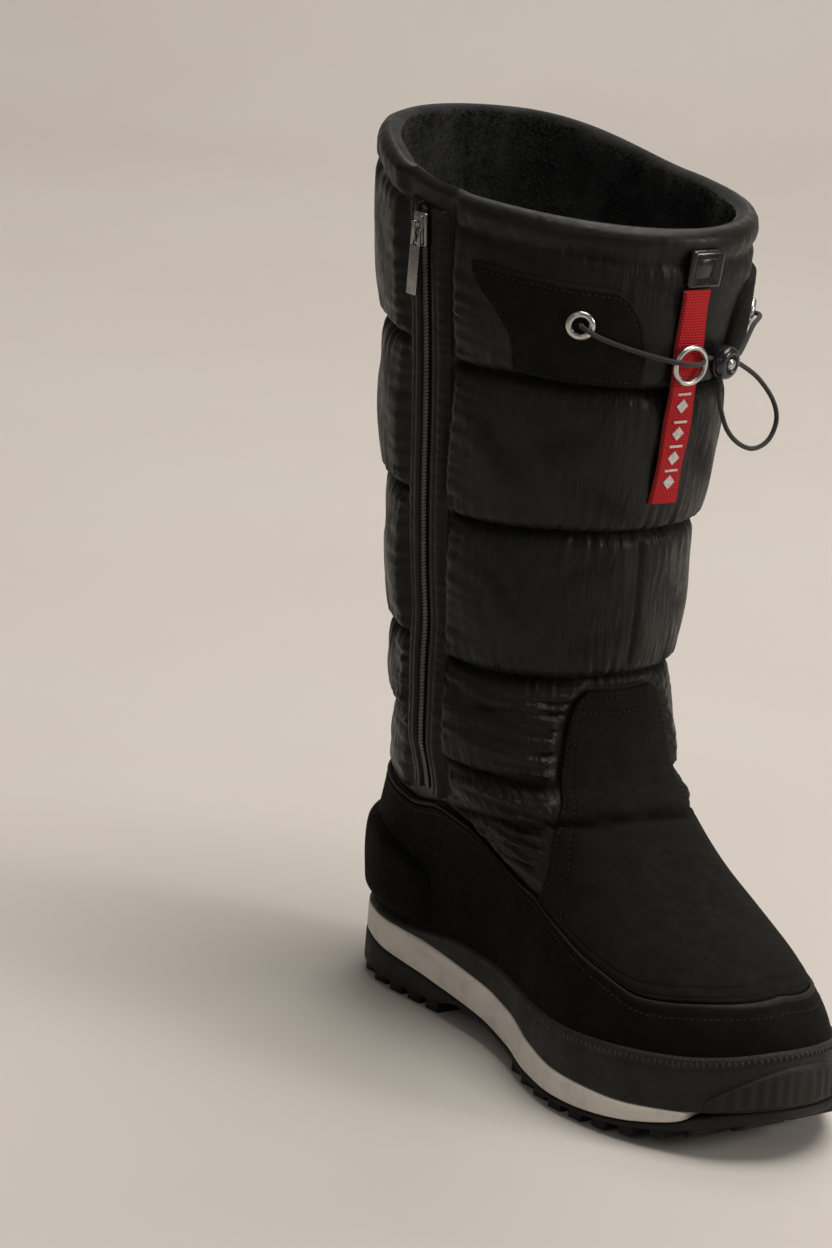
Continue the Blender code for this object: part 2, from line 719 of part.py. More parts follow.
def make_foot_panels(collection, cutters, rubber, suede, softshell):
    """Rand with its raised toe, mudguard, heel counter and vamp panel, each a shell on the upper."""
    edge = PANEL_GAP / (INSTEP_HEIGHT - FEATHER_HEIGHT)
    seat = RAND_SEAT / (INSTEP_HEIGHT - FEATHER_HEIGHT)
    wall = RAND_WALL - RAND_GAP
    rand = shell_round("rand", lambda a: seat, rand_level, 5, RAND_GAP, wall, collection, rubber)
    shell_round(
        "mudguard", lambda a: rand_level(a) + 2 * edge, guard_level, 4, PANEL_GAP, PANEL, collection, suede
    )

    def bumper(u, v):
        angle = BUMPER_TURN * (2 * u - 1)
        top = rand_level(0.0) * BUMPER_SHARE * (1 - (2 * u - 1) ** 2 * 0.75)
        return angle, 3 * seat + (top - 3 * seat) * v

    wall = BUMPER_WALL + BUMPER_EMBED
    form = shell_patch("toe_bumper", bumper, 5, 9, RAND_WALL - BUMPER_EMBED, wall, cutters, rubber)
    boolean(rand, "UNION", form)

    def counter(u, v):
        angle = wrap(180.0 + COUNTER_TURN * (1 - 2 * u))
        low = rand_level(angle) + 3 * edge
        return angle, low + (COUNTER_TOP - low) * v * (1 - 0.35 * (2 * u - 1) ** 4)

    out = PANEL_GAP + PANEL + COUNTER_GAP
    shell_patch("heel_counter", counter, 4, 13, out, COUNTER_WALL, collection, suede)

    def vamp(u, v):
        level = guard_level(0.0) + (VAMP_TOP - guard_level(0.0)) * v
        side = 2 * u - 1
        for _ in range(6):
            turn = along_curve(column(VAMP_SIDE, "level"), column(VAMP_SIDE, "angle"), level)
            low = guard_level(turn * side) + 2 * edge
            level = low + (VAMP_TOP - low) * v
        return turn * side, level

    shell_patch("vamp_panel", vamp, 15, 15, PANEL_GAP, PANEL, collection, softshell)


def ribbon(name, low, high, left, right, rows, columns, inner, thickness, collection, material):
    """A strip along the zip's line, between two distances to its side."""

    def place(u, v):
        level = low + (high - low) * v
        angle = zip_angle(level)
        return wrap(angle + turn_for(angle, level, left + (right - left) * u)), level

    return shell_patch(name, place, rows, columns, inner, thickness, collection, material)


def make_zip(collection, cutters, tape, metal, nylon):
    """Tape, teeth, the padded strips beside them, the slider with its bridge, and the hanging pull."""
    half = TAPE_WIDTH / 2
    rows = 17
    whole = (ZIP_BOTTOM, ZIP_TOP)
    ribbon("zip_tape", *whole, -half, half, rows, 3, PANEL_GAP, TAPE_THICKNESS, collection, tape)
    teeth_out = PANEL_GAP + TAPE_THICKNESS + GAP
    side = TEETH_WIDTH / 2
    ribbon("zip_teeth", *whole, -side, side, rows, 2, teeth_out, TEETH_THICKNESS, collection, metal)
    for name, sign in (("placket_front", 1), ("placket_back", -1)):
        near = sign * (half + GAP)
        far = sign * (half + GAP + PLACKET_WIDTH)
        low = ZIP_BOTTOM - PLACKET_RUN
        ribbon(name, low, ZIP_TOP, near, far, rows, 3, PANEL_GAP, PLACKET_THICKNESS, collection, nylon)

    slider_out = teeth_out + TEETH_THICKNESS + GAP
    angle = zip_angle(SLIDER_LEVEL)
    frame = skin_frame(angle, SLIDER_LEVEL, slider_out)
    size = (SLIDER_WIDTH, SLIDER_LENGTH, SLIDER_THICKNESS)
    body = box_mesh("zip_slider", size, (0, 0, SLIDER_THICKNESS / 2))
    slider = add_object("zip_slider", body, collection, metal)
    slider.matrix_world = frame
    edge = slider.modifiers.new("Edge", "BEVEL")
    edge.width = SLIDER_EDGE
    edge.segments = 2
    bridge_height = BRIDGE_RISE + BRIDGE_EMBED
    lift = SLIDER_THICKNESS - BRIDGE_EMBED + bridge_height / 2
    bridge = box_mesh("bridge", (BRIDGE_WIDTH, BRIDGE_SPAN, bridge_height), (0, 0, lift))
    bridge = add_object("bridge", bridge, cutters, metal)
    bridge.matrix_world = frame
    gap_height = BRIDGE_RISE - BRIDGE_WALL
    hole = box_mesh(
        "bridge_gap",
        (BRIDGE_WIDTH * 3, BRIDGE_SPAN - 2 * BRIDGE_WALL, gap_height),
        (0, 0, SLIDER_THICKNESS + gap_height / 2),
    )
    hole = add_object("bridge_gap", hole, cutters, metal)
    hole.matrix_world = frame
    boolean(slider, "UNION", bridge)
    boolean(slider, "DIFFERENCE", hole)

    # The pull hangs straight down from its bar, which lies under the bridge.
    pivot = frame @ Vector((0, 0, SLIDER_THICKNESS + gap_height / 2))
    across = Vector((0, 0, 1)).cross(skin_normal(angle, SLIDER_LEVEL)).normalized()
    outward = across.cross(Vector((0, 0, 1)))
    drop = PULL_BAR / 2 - PULL_LENGTH / 2
    bar = box_mesh("zip_pull", (PULL_WIDTH, PULL_LENGTH, PULL_THICKNESS), (0, drop, 0))
    pull = add_object("zip_pull", bar, collection, metal)
    hang = Matrix((across, Vector((0, 0, 1)), outward)).transposed().to_4x4()
    hang.translation = pivot
    pull.matrix_world = hang
    edge = pull.modifiers.new("Edge", "BEVEL")
    edge.width = PULL_EDGE
    edge.segments = 1
    window = box_mesh(
        "pull_window",
        (PULL_HOLE_WIDTH, PULL_HOLE_LENGTH, PULL_THICKNESS * 3),
        (0, -PULL_BAR / 2 - PULL_HOLE_LENGTH / 2, 0),
    )
    window = add_object("pull_window", window, cutters, metal)
    window.matrix_world = hang
    boolean(pull, "DIFFERENCE", window)


def turned(name, rings, matrix, collection, material, sides=24):
    """A turned piece through rings of (radius, height), closed from its last ring to its first."""
    points = []
    for radius, height in rings:
        for k in range(sides):
            t = 2 * math.pi * k / sides
            points.append(matrix @ Vector((radius * math.cos(t), radius * math.sin(t), height)))
    mesh = mesh_from(name, points, ring_faces(len(rings), sides, True))
    return add_object(name, mesh, collection, material)


def torus_rings(radius, wire, steps=8):
    rings = []
    for k in range(steps):
        t = 2 * math.pi * k / steps
        rings.append((radius + wire * math.cos(t), wire * math.sin(t)))
    return rings


def tube(name, points, collection, material):
    """A cord along the smooth curve through a few points, with flat ends."""
    knots = [Vector(p) for p in points]
    lengths = [0.0]
    for a, b in zip(knots, knots[1:]):
        lengths.append(lengths[-1] + (b - a).length)
    count = max(6, min(70, int(lengths[-1] / (2.2 * CORD_DIAMETER)) + 1))
    curve = bpy.data.curves.new(name, "CURVE")
    curve.dimensions = "3D"
    curve.bevel_depth = CORD_DIAMETER / 2
    curve.bevel_resolution = 1
    curve.use_fill_caps = True
    spline = curve.splines.new("POLY")
    spline.points.add(count)
    for k in range(count + 1):
        spline.points[k].co = (*smooth_route(knots, lengths, lengths[-1] * k / count), 1.0)
    return add_object(name, curve, collection, material)


def smooth_route(knots, lengths, distance):
    """A point of the smooth curve through the knots, at a distance along their polyline."""
    i = max(0, min(len(knots) - 2, int(np.searchsorted(lengths, distance, side="right")) - 1))
    before = knots[max(0, i - 1)]
    after = knots[min(len(knots) - 1, i + 2)]
    t = (distance - lengths[i]) / (lengths[i + 1] - lengths[i])
    start, end = knots[i], knots[i + 1]
    lead = (end - before) / 2
    leave = (after - start) / 2
    return (
        start * (1 + 2 * t) * (1 - t) ** 2
        + lead * t * (1 - t) ** 2
        + end * t * t * (3 - 2 * t)
        + leave * t * t * (t - 1)
    )


def make_front(collection, softshell, metal, black, red, cord_cloth):
    """Eyelet patches, eyelets, tab, strap, ring, lock and drawcord on the collar's front."""
    for name, sign in (("inner", -1), ("outer", 1)):

        def patch(u, v, sign=sign):
            level = PATCH_EDGES[0].level + (PATCH_EDGES[-1].level - PATCH_EDGES[0].level) * v
            near = along_curve(column(PATCH_EDGES, "level"), column(PATCH_EDGES, "near"), level)
            far = along_curve(column(PATCH_EDGES, "level"), column(PATCH_EDGES, "far"), level)
            return sign * (near + (far - near) * u), level

        shell_patch("eyelet_patch_" + name, patch, 7, 9, PATCH_GAP, PANEL, collection, softshell)
        seat = skin_frame(sign * EYELET_ANGLE, EYELET_LEVEL, PATCH_GAP + PANEL + GAP)
        rings = [
            (EYELET_HOLE, 0.0),
            (EYELET_RADIUS, 0.0),
            (EYELET_RADIUS - EYELET_CHAMFER, EYELET_THICKNESS * 0.6),
            (EYELET_RADIUS - EYELET_CROWN, EYELET_THICKNESS),
            (EYELET_HOLE, EYELET_THICKNESS * 0.7),
        ]
        turned("eyelet_" + name, rings, seat, collection, metal, 20)

    strap_out = PANEL_GAP

    def strap_place(u, v):
        level = STRAP_BOTTOM + (STRAP_TOP - STRAP_BOTTOM) * v
        return turn_for(0.0, level, STRAP_WIDTH * (u - 0.5)), level

    shell_patch("strap", strap_place, 17, 3, strap_out, STRAP_THICKNESS, collection, red)
    strap_face = strap_out + STRAP_THICKNESS
    cord_out = strap_face + GAP + CORD_DIAMETER / 2
    ring_out = cord_out + CORD_DIAMETER / 2 + 4 * GAP + RING_WIRE
    ring_seat = skin_frame(0.0, RING_LEVEL, ring_out)
    turned("strap_ring", torus_rings(RING_RADIUS, RING_WIRE, 6), ring_seat, collection, metal)
    tab_seat = skin_frame(0.0, TAB_LEVEL, 2 * GAP + TAB_WIRE) @ Matrix.Diagonal((TAB_STRETCH, 1.0, 1.0, 1.0))
    turned("loop_tab", torus_rings(TAB_RADIUS, TAB_WIRE, 6), tab_seat, collection, black, 18)

    lock_out = PATCH_GAP + PANEL + 2 * GAP
    seat = skin_frame(LOCK_ANGLE, LOCK_LEVEL, lock_out)
    points = []
    sides = 18
    for radius, height in LOCK_PROFILE:
        for k in range(sides):
            t = 2 * math.pi * k / sides
            across = LOCK_RADIUS * radius
            place = Vector((across * math.cos(t), across * math.sin(t), LOCK_THICKNESS * height))
            points.append(seat @ place)
    faces = ring_faces(len(LOCK_PROFILE), sides)
    faces.append(tuple(range(sides)))
    faces.append(tuple(range((len(LOCK_PROFILE) - 1) * sides, len(LOCK_PROFILE) * sides)))
    add_object("cord_lock", mesh_from("cord_lock", points, faces), collection, black)

    mouth = LOCK_RADIUS + GAP
    mouth_height = LOCK_THICKNESS * LOCK_MOUTH
    hole_depth = PATCH_GAP + PANEL + GAP + CORD_DIAMETER * 0.1
    for name, sign, height in (("cord_inner", -1, mouth_height * 0.4), ("cord_outer", 1, mouth_height)):
        eye = sign * EYELET_ANGLE
        start = skin(eye, EYELET_LEVEL, hole_depth)
        lift = skin(eye - sign * EYELET_EXIT, EYELET_LEVEL, hole_depth + CORD_LIFT)
        end = seat @ Vector((sign * mouth, CORD_MOUTH_RISE, height))
        before = seat @ Vector((sign * (mouth + CORD_LEAD), CORD_MOUTH_RISE * 1.5, height * 0.95))
        if sign < 0:
            middle = [skin(a, level, CORD_CLEAR) for a, level in CORD_WAY_INNER]
            middle += [skin(a, level, cord_out) for a, level in CORD_WAY_CENTRE]
        else:
            middle = [skin(*CORD_WAY_OUTER, CORD_CLEAR_OUTER)]
        tube(name, [start, lift, *middle, before, end], collection, cord_cloth)

    loop = [seat @ Vector((x, y, mouth_height + z)) for x, y, z in LOOP_ROUTE]
    tube("cord_loop", loop, collection, cord_cloth)


def build():
    for obj in list(bpy.data.objects):
        bpy.data.objects.remove(obj)
    collection = bpy.data.collections.new("snow_boot")
    cutters = bpy.data.collections.new("cutters")
    bpy.context.scene.collection.children.link(collection)
    bpy.context.scene.collection.children.link(cutters)
    nylon = new_material("quilted_nylon", (0.012, 0.012, 0.012), 0.42)
    softshell = new_material("softshell", (0.022, 0.021, 0.020), 0.85)
    suede = new_material("coated_suede", (0.008, 0.008, 0.008), 0.80)
    rubber = new_material("black_rubber", (0.020, 0.019, 0.018), 0.62)
    foam = new_material("pale_foam", (0.62, 0.60, 0.56), 0.60)
    lining = new_material("insole_felt", (0.030, 0.030, 0.032), 0.95)
    tape = new_material("zip_tape", (0.010, 0.010, 0.010), 0.70)
    metal = new_material("nickel", (0.66, 0.65, 0.62), 0.25, 1.0)
    black = new_material("black_plastic", (0.010, 0.010, 0.011), 0.35)
    red = new_material("red_webbing", (0.55, 0.010, 0.015), 0.60)
    cord_cloth = new_material("black_cord", (0.010, 0.010, 0.010), 0.60)
    make_sole(collection, cutters, rubber, foam, lining)
    make_upper(collection, nylon)
    make_foot_panels(collection, cutters, rubber, suede, softshell)
    make_zip(collection, cutters, tape, metal, nylon)
    make_front(collection, softshell, metal, black, red, cord_cloth)


build()
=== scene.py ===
import math
from collections import namedtuple

import bpy
import numpy as np
from mathutils import Matrix, Vector


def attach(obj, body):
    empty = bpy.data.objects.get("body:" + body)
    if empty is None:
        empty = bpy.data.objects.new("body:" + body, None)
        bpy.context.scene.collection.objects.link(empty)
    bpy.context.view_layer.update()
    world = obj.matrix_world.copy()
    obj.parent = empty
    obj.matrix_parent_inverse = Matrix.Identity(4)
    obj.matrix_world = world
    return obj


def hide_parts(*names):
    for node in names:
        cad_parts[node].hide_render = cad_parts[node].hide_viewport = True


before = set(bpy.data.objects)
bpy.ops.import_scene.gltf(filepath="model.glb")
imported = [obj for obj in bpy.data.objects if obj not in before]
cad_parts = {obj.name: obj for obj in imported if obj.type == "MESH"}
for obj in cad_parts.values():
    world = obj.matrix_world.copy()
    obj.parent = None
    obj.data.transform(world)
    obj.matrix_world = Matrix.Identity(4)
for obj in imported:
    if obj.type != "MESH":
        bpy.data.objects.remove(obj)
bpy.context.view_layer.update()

# The boot's sizes and tables. The base form's match its CAD source's, and the seams are this scene's own.
SOLE_LENGTH, HEEL_REACH, BALL_WIDTH = 0.270, 0.048, 0.111
HEEL_STACK, INSTEP_HEIGHT, COLLAR_HEIGHT = 0.027, 0.118, 0.347
COLLAR_DEPTH, COLLAR_WIDTH, COLLAR_RISE = 0.168, 0.134, 0.010
SHAFT_SETBACK, TOE_INFLARE_DEG = 0.018, 3.5
GAP, RAND_WALL = 0.0003, 0.0036
FOOT_WALL, SHAFT_WALL = 0.004, 0.0045
PANEL, PANEL_GAP, PATCH_GAP = 0.0013, 0.0011, 0.0010
TAPE_WIDTH, TAPE_THICKNESS, PLACKET_WIDTH = 0.0090, 0.0006, 0.0066
TEETH_THICKNESS = 0.0009
TOE_REACH = SOLE_LENGTH - HEEL_REACH


def table(kind, *rows):
    return [kind(*row) for row in rows]


Plan = namedtuple("Plan", "along medial lateral")
PLAN = table(
    Plan, (0.000, 0.000, 0.000), (0.020, 0.150, 0.150), (0.070, 0.255, 0.255), (0.150, 0.310, 0.310),
    (0.270, 0.315, 0.340), (0.400, 0.325, 0.380), (0.500, 0.370, 0.420), (0.600, 0.450, 0.455),
    (0.690, 0.490, 0.470), (0.780, 0.465, 0.455), (0.870, 0.385, 0.390), (0.940, 0.275, 0.285),
    (0.985, 0.135, 0.150), (1.000, 0.000, 0.000),
)
SoleLine = namedtuple("SoleLine", "along tread root band_low band_high rand")
SOLE_LINES = table(
    SoleLine, (0.00, 0.06, 0.20, 0.70, 1.13, 1.24), (0.08, 0.00, 0.15, 0.66, 1.11, 1.22),
    (0.18, 0.00, 0.15, 0.57, 1.08, 1.20), (0.27, 0.00, 0.18, 0.49, 1.03, 1.28),
    (0.34, 0.00, 0.33, 0.44, 0.97, 1.36), (0.44, 0.00, 0.26, 0.35, 0.88, 1.35),
    (0.53, 0.00, 0.17, 0.28, 0.80, 1.31), (0.62, 0.00, 0.14, 0.23, 0.68, 1.32),
    (0.72, 0.00, 0.14, 0.22, 0.60, 1.33), (0.80, 0.05, 0.19, 0.28, 0.58, 1.37),
    (0.88, 0.18, 0.32, 0.44, 0.64, 1.43), (0.94, 0.38, 0.50, 0.72, 0.72, 1.54),
    (1.00, 0.64, 0.72, 0.86, 0.86, 1.74),
)
FootSection = namedtuple("FootSection", "level front back width tilt")
FOOT_SECTIONS = table(
    FootSection, (0.00, 1.000, 0.93, 0.58, 0.000), (0.14, 0.998, 0.98, 0.59, 0.000),
    (0.26, 0.988, 1.01, 0.60, 0.000), (0.36, 0.948, 1.02, 0.61, 0.005), (0.45, 0.872, 1.00, 0.63, 0.012),
    (0.56, 0.765, 0.96, 0.66, 0.025), (0.68, 0.655, 0.90, 0.69, 0.042), (0.82, 0.545, 0.83, 0.72, 0.062),
    (0.93, 0.475, 0.79, 0.74, 0.076),
)
ShaftSection = namedtuple("ShaftSection", "level middle depth width tilt")
SHAFT_SECTIONS = table(
    ShaftSection, (1.048, 1.48, 0.745, 0.755, 0.085), (1.190, 1.16, 0.722, 0.755, 0.094),
    (1.320, 1.04, 0.755, 0.790, 0.098), (1.453, 1.02, 0.795, 0.835, 0.098),
    (1.590, 1.04, 0.845, 0.875, 0.095), (1.716, 1.06, 0.900, 0.915, 0.090),
    (1.860, 1.02, 0.950, 0.958, 0.080), (2.000, 1.00, 1.000, 1.000, 0.065),
)
Line = namedtuple("Line", "x y")
ZIP_PATH = table(
    Line, (0.70, -112.0), (0.88, -102.0), (1.05, -96.5), (1.25, -92.5), (1.60, -92.0), (2.00, -93.0),
)
GUARD_EDGE = table(
    Line, (0, 0.395), (28, 0.370), (47, 0.352), (58, 0.400), (68, 0.460), (76, 0.515), (84, 0.600),
    (92, 0.695), (104, 0.715), (122, 0.660), (150, 0.670), (180, 0.700),
)
VAMP_SIDE = table(
    Line, (0.340, 80.0), (0.500, 77.0), (0.584, 71.0), (0.660, 64.5), (0.740, 58.0), (0.836, 49.5),
    (0.956, 38.0), (1.036, 33.0), (1.100, 29.0), (1.145, 24.5), (1.176, 18.0),
)
VAMP_TOP = 1.176
PatchPoint = namedtuple("PatchPoint", "level near far")
PATCH_EDGES = table(
    PatchPoint, (1.738, 17.0, 58.0), (1.790, 16.5, 59.0), (1.840, 18.0, 65.0), (1.885, 22.0, 72.0),
    (1.912, 29.0, 73.0),
)
ZIP_BOTTOM, ZIP_TOP, ZIP_FLAT, ZIP_SOFT = 0.78, 1.972, 9.5, 15.0
EYELET_ANGLE, EYELET_LEVEL = 38.0, 1.845
LOCK_ANGLE, LOCK_LEVEL, RING_LEVEL, TAB_LEVEL = 15.0, 1.790, 1.790, 1.952
STRAP_TOP, STRAP_BOTTOM, SLIDER_LEVEL = 1.918, 1.532, 1.930
LOCK_RADIUS, LOCK_THICKNESS = 0.0067, 0.0070
BAND_END, BUMPER_TURN, BUMPER_SHARE = 0.912, 30.0, 0.74
COUNTER_TURN, COUNTER_TOP = 60.0, 0.470
LUG_LENGTH, LUG_PITCH, LUG_SPACE, LUG_REACH, LUG_EMBED = 0.008, 0.0125, 0.005, 0.0022, 0.0012
LUG_LEAST, LUG_ROW_WIDE, ARCH_FROM, ARCH_TO = 0.008, 0.05, 0.25, 0.50

# Sizes of the flat panels, across and up, in metres, and of the cloth for one degree and one level.
VAMP_SIZE, PATCH_SIZE, STRAP_SIZE, COUNTER_SIZE, BUMPER_SIZE = (
    (0.085, 0.115), (0.052, 0.040), (0.0124, 0.088), (0.10, 0.030), (0.060, 0.020)
)
DEGREE, SOLE_DEGREE, ROUND_MM = 0.00115, 0.0014, 1.15
FOOT_RUN, SHAFT_RUN = 0.094, 0.229
STRAP_LEAN, LOCK_SHIFT, FRONT_SEAM_TURN = 2.5, 3.5, 2.5
PATCH_DEGREE, ZIP_RUN = 0.0013, 0.25
STITCH_PITCH, STITCH_LONG, STITCH_THICK = 0.0026, 0.0017, 0.00042
CORD_RADIUS, LOOP_WIDER, LOOP_TALLER = 0.0010, 1.08, 1.06
VAMP_HEMS, PATCH_HEM = (0.0022, 0.0062), 0.0030
UP = Vector((0, 0, 1))

# How far each pillow stands out, and how deep the puckers at each seam are, from the lowest up.
PILLOWS = (0.0018, 0.0032, 0.0046, 0.0060, 0.0060, 0.0056)
PUCKERS = (0.0004, 0.0008, 0.0015, 0.0015, 0.0015)
SEAM_DEPTH, FRONT_SEAM_DEPTH, RIM_HEM = 0.0023, 0.0016, 0.0014

# The quilting's seams as level by angle, from the fold above the heel up.
SEAMS = [
    table(
        Line, (-180, 0.66), (-117, 0.688), (-80, 0.792), (-50, 0.832), (50, 0.832), (80, 0.792),
        (117, 0.688), (180, 0.66),
    ),
    table(
        Line, (-180, 1.040), (-98, 1.030), (-82, 0.992), (-58, 0.998), (-38, 1.002), (38, 1.002),
        (82, 0.998), (98, 1.030), (180, 1.040),
    ),
    table(Line, (-180, 1.178), (-73, 1.176), (-39, 1.188), (4, 1.204), (60, 1.192), (180, 1.178)),
    table(Line, (-180, 1.444), (-78, 1.442), (-32, 1.464), (7, 1.472), (60, 1.456), (180, 1.444)),
    table(
        Line, (-180, 1.716), (-80, 1.716), (-54, 1.728), (-10, 1.733), (12, 1.736), (60, 1.722),
        (180, 1.716),
    ),
    table(Line, (-180, 2.0), (180, 2.0)),
]


def step(low, high, x):
    """0 below low, 1 above high, and a soft turn between."""
    t = np.clip((np.asarray(x, float) - low) / (high - low), 0.0, 1.0)
    return t * t * (3 - 2 * t)


def curve(xs, ys, x):
    """Reads a smooth curve through the points (xs, ys) at x, without overshoot between them."""
    xs, ys = np.asarray(xs, float), np.asarray(ys, float)
    x = np.clip(x, xs[0], xs[-1])
    h = np.diff(xs)
    rise = np.diff(ys) / h
    a, b = rise[:-1], rise[1:]
    same = a * b > 0
    slope = np.concatenate([rise[:1], np.where(same, 2 * a * b / np.where(same, a + b, 1.0), 0.0), rise[-1:]])
    i = np.clip(np.searchsorted(xs, x, side="right") - 1, 0, len(xs) - 2)
    t = (x - xs[i]) / h[i]
    return (
        (1 + 2 * t) * (1 - t) ** 2 * ys[i]
        + t * (1 - t) ** 2 * h[i] * slope[i]
        + t * t * (3 - 2 * t) * ys[i + 1]
        + t * t * (t - 1) * h[i] * slope[i + 1]
    )


def read(rows, x, along="x", name="y"):
    """Reads one column of a table by another."""
    return curve([getattr(r, along) for r in rows], [getattr(r, name) for r in rows], x)


def sole_height(line, y):
    return HEEL_STACK * read(SOLE_LINES, (HEEL_REACH - y) / SOLE_LENGTH, "along", line)


FEATHER_INSET = RAND_WALL + GAP
FEATHER_LENGTH = SOLE_LENGTH - 2 * FEATHER_INSET
FEATHER_HEIGHT = HEEL_STACK * 0.9 + GAP
SECTIONS = [
    (s.level, -s.front * (TOE_REACH - FEATHER_INSET), s.back * HEEL_REACH, s.width * COLLAR_WIDTH / 2, s.tilt)
    for s in FOOT_SECTIONS
] + [
    (
        s.level,
        -s.middle * SHAFT_SETBACK - s.depth * COLLAR_DEPTH / 2,
        -s.middle * SHAFT_SETBACK + s.depth * COLLAR_DEPTH / 2,
        s.width * COLLAR_WIDTH / 2,
        s.tilt,
    )
    for s in SHAFT_SECTIONS
]
LEVELS, FRONTS, BACKS, HALF_WIDTHS, TILTS = (list(c) for c in zip(*SECTIONS))
PLAN_TURNS = [math.acos(1 - 2 * p.along) for p in PLAN]
RIDGE_LEVELS = np.linspace(0.0, 1.048, 400)
RIDGE_FRONTS = curve(LEVELS, FRONTS, RIDGE_LEVELS)
RIDGE_ROUNDNESS = 2.3


def plan_half_width(side, y):
    along = np.clip((HEEL_REACH - FEATHER_INSET - y) / FEATHER_LENGTH, 0.0, 1.0)
    return BALL_WIDTH * curve(PLAN_TURNS, [getattr(p, side) for p in PLAN], np.arccos(1 - 2 * along))


def centre_line(y):
    start = HEEL_REACH - 0.25 * SOLE_LENGTH
    return -math.tan(math.radians(TOE_INFLARE_DEG)) * np.maximum(0.0, start - y)


def base_height(level, y):
    foot = FEATHER_HEIGHT + level * (INSTEP_HEIGHT - FEATHER_HEIGHT)
    shaft = INSTEP_HEIGHT + (level - 1) * (COLLAR_HEIGHT - INSTEP_HEIGHT)
    follow = 1 - step(0.0, 0.6, level)
    sole = sole_height("band_high", y) + GAP - FEATHER_HEIGHT
    tilt = curve(LEVELS, TILTS, level)
    back = (y + SHAFT_SETBACK) / (COLLAR_DEPTH / 2)
    rise = COLLAR_RISE * step(1.75, 2.0, level) * step(0.0, 0.9, back)
    return np.where(level <= 1, foot, shaft) + follow * sole + tilt * (y + SHAFT_SETBACK) + rise


def paired(angle, level):
    return np.broadcast_arrays(np.asarray(angle, float), np.asarray(level, float))


def base(angle, level):
    """Points of the upper's skin without quilting, by angle round the leg and level from the sole up."""
    angle, level = paired(angle, level)
    turn = np.radians(np.abs(angle))
    front, back = curve(LEVELS, FRONTS, level), curve(LEVELS, BACKS, level)
    y = (front + back) / 2 - (back - front) / 2 * np.cos(turn)
    sole_back = HEEL_REACH - FEATHER_INSET
    foot_y = y + (sole_back - back) * step(0.45, 1.0, (1 - np.cos(turn)) / 2)
    ridge = np.interp(y, RIDGE_FRONTS, RIDGE_LEVELS)
    below_leg = 1 - step(-0.004, 0.022, y - RIDGE_FRONTS[-1])
    share = np.clip(level / np.maximum(ridge, 1e-6), 0.0, 1.0) * below_leg
    plan = np.where(angle < 0, plan_half_width("medial", foot_y), plan_half_width("lateral", foot_y))
    foot = plan * (1 - share**RIDGE_ROUNDNESS) ** (1 / RIDGE_ROUNDNESS)
    leg = curve(LEVELS, HALF_WIDTHS, level) * np.sin(turn)
    blend = step(0.25, 1.08, level)
    half = np.where(np.abs(np.sin(turn)) < 1e-9, 0.0, (1 - blend) * foot + blend * leg)
    x = centre_line(y) * (1 - blend) + half * np.where(angle >= 0, 1, -1)
    return np.stack([x, y, base_height(level, y)], -1)


def wrap(angle):
    return (np.asarray(angle, float) + 180.0) % 360.0 - 180.0


def unit(v):
    return v / np.maximum(np.linalg.norm(v, axis=-1, keepdims=True), 1e-12)


def bell(x, wide):
    """1 at 0, falling off softly over a width."""
    return np.exp(-((x / wide) ** 2))


def rounded(x):
    """A quarter circle, from 0 at 0 to 1 at 1."""
    return np.sqrt(1 - (1 - np.clip(x, 0, 1)) ** 2)


def all_round(u):
    """The angle at a share of the way round the leg."""
    return wrap(-180 + 360 * u)


def normal(angle, level):
    """Outward directions of the skin."""
    level = np.asarray(level, float)
    around = base(wrap(angle + 1.5), level) - base(wrap(angle - 1.5), level)
    up = base(angle, np.minimum(2.0, level + 0.012)) - base(angle, np.maximum(0.0, level - 0.012))
    return unit(np.cross(around, up))


def zip_angle(level):
    return read(ZIP_PATH, level)


def guard_level(angle):
    return read(GUARD_EDGE, np.abs(angle))


def off_zip(angle, level):
    """0 on the zip's flat strip and 1 away from it."""
    return step(ZIP_FLAT, ZIP_SOFT, np.abs(wrap(angle - zip_angle(level))))


def off_panels(angle, level):
    """0 under the vamp panel and the mudguard, 1 on the open cloth."""
    side = step(-0.5, 6.0, np.abs(angle) - read(VAMP_SIDE, level))
    vamp = np.maximum(side, step(VAMP_TOP + 0.002, VAMP_TOP + 0.02, level))
    return vamp * step(0.0, 0.05, level - guard_level(angle))


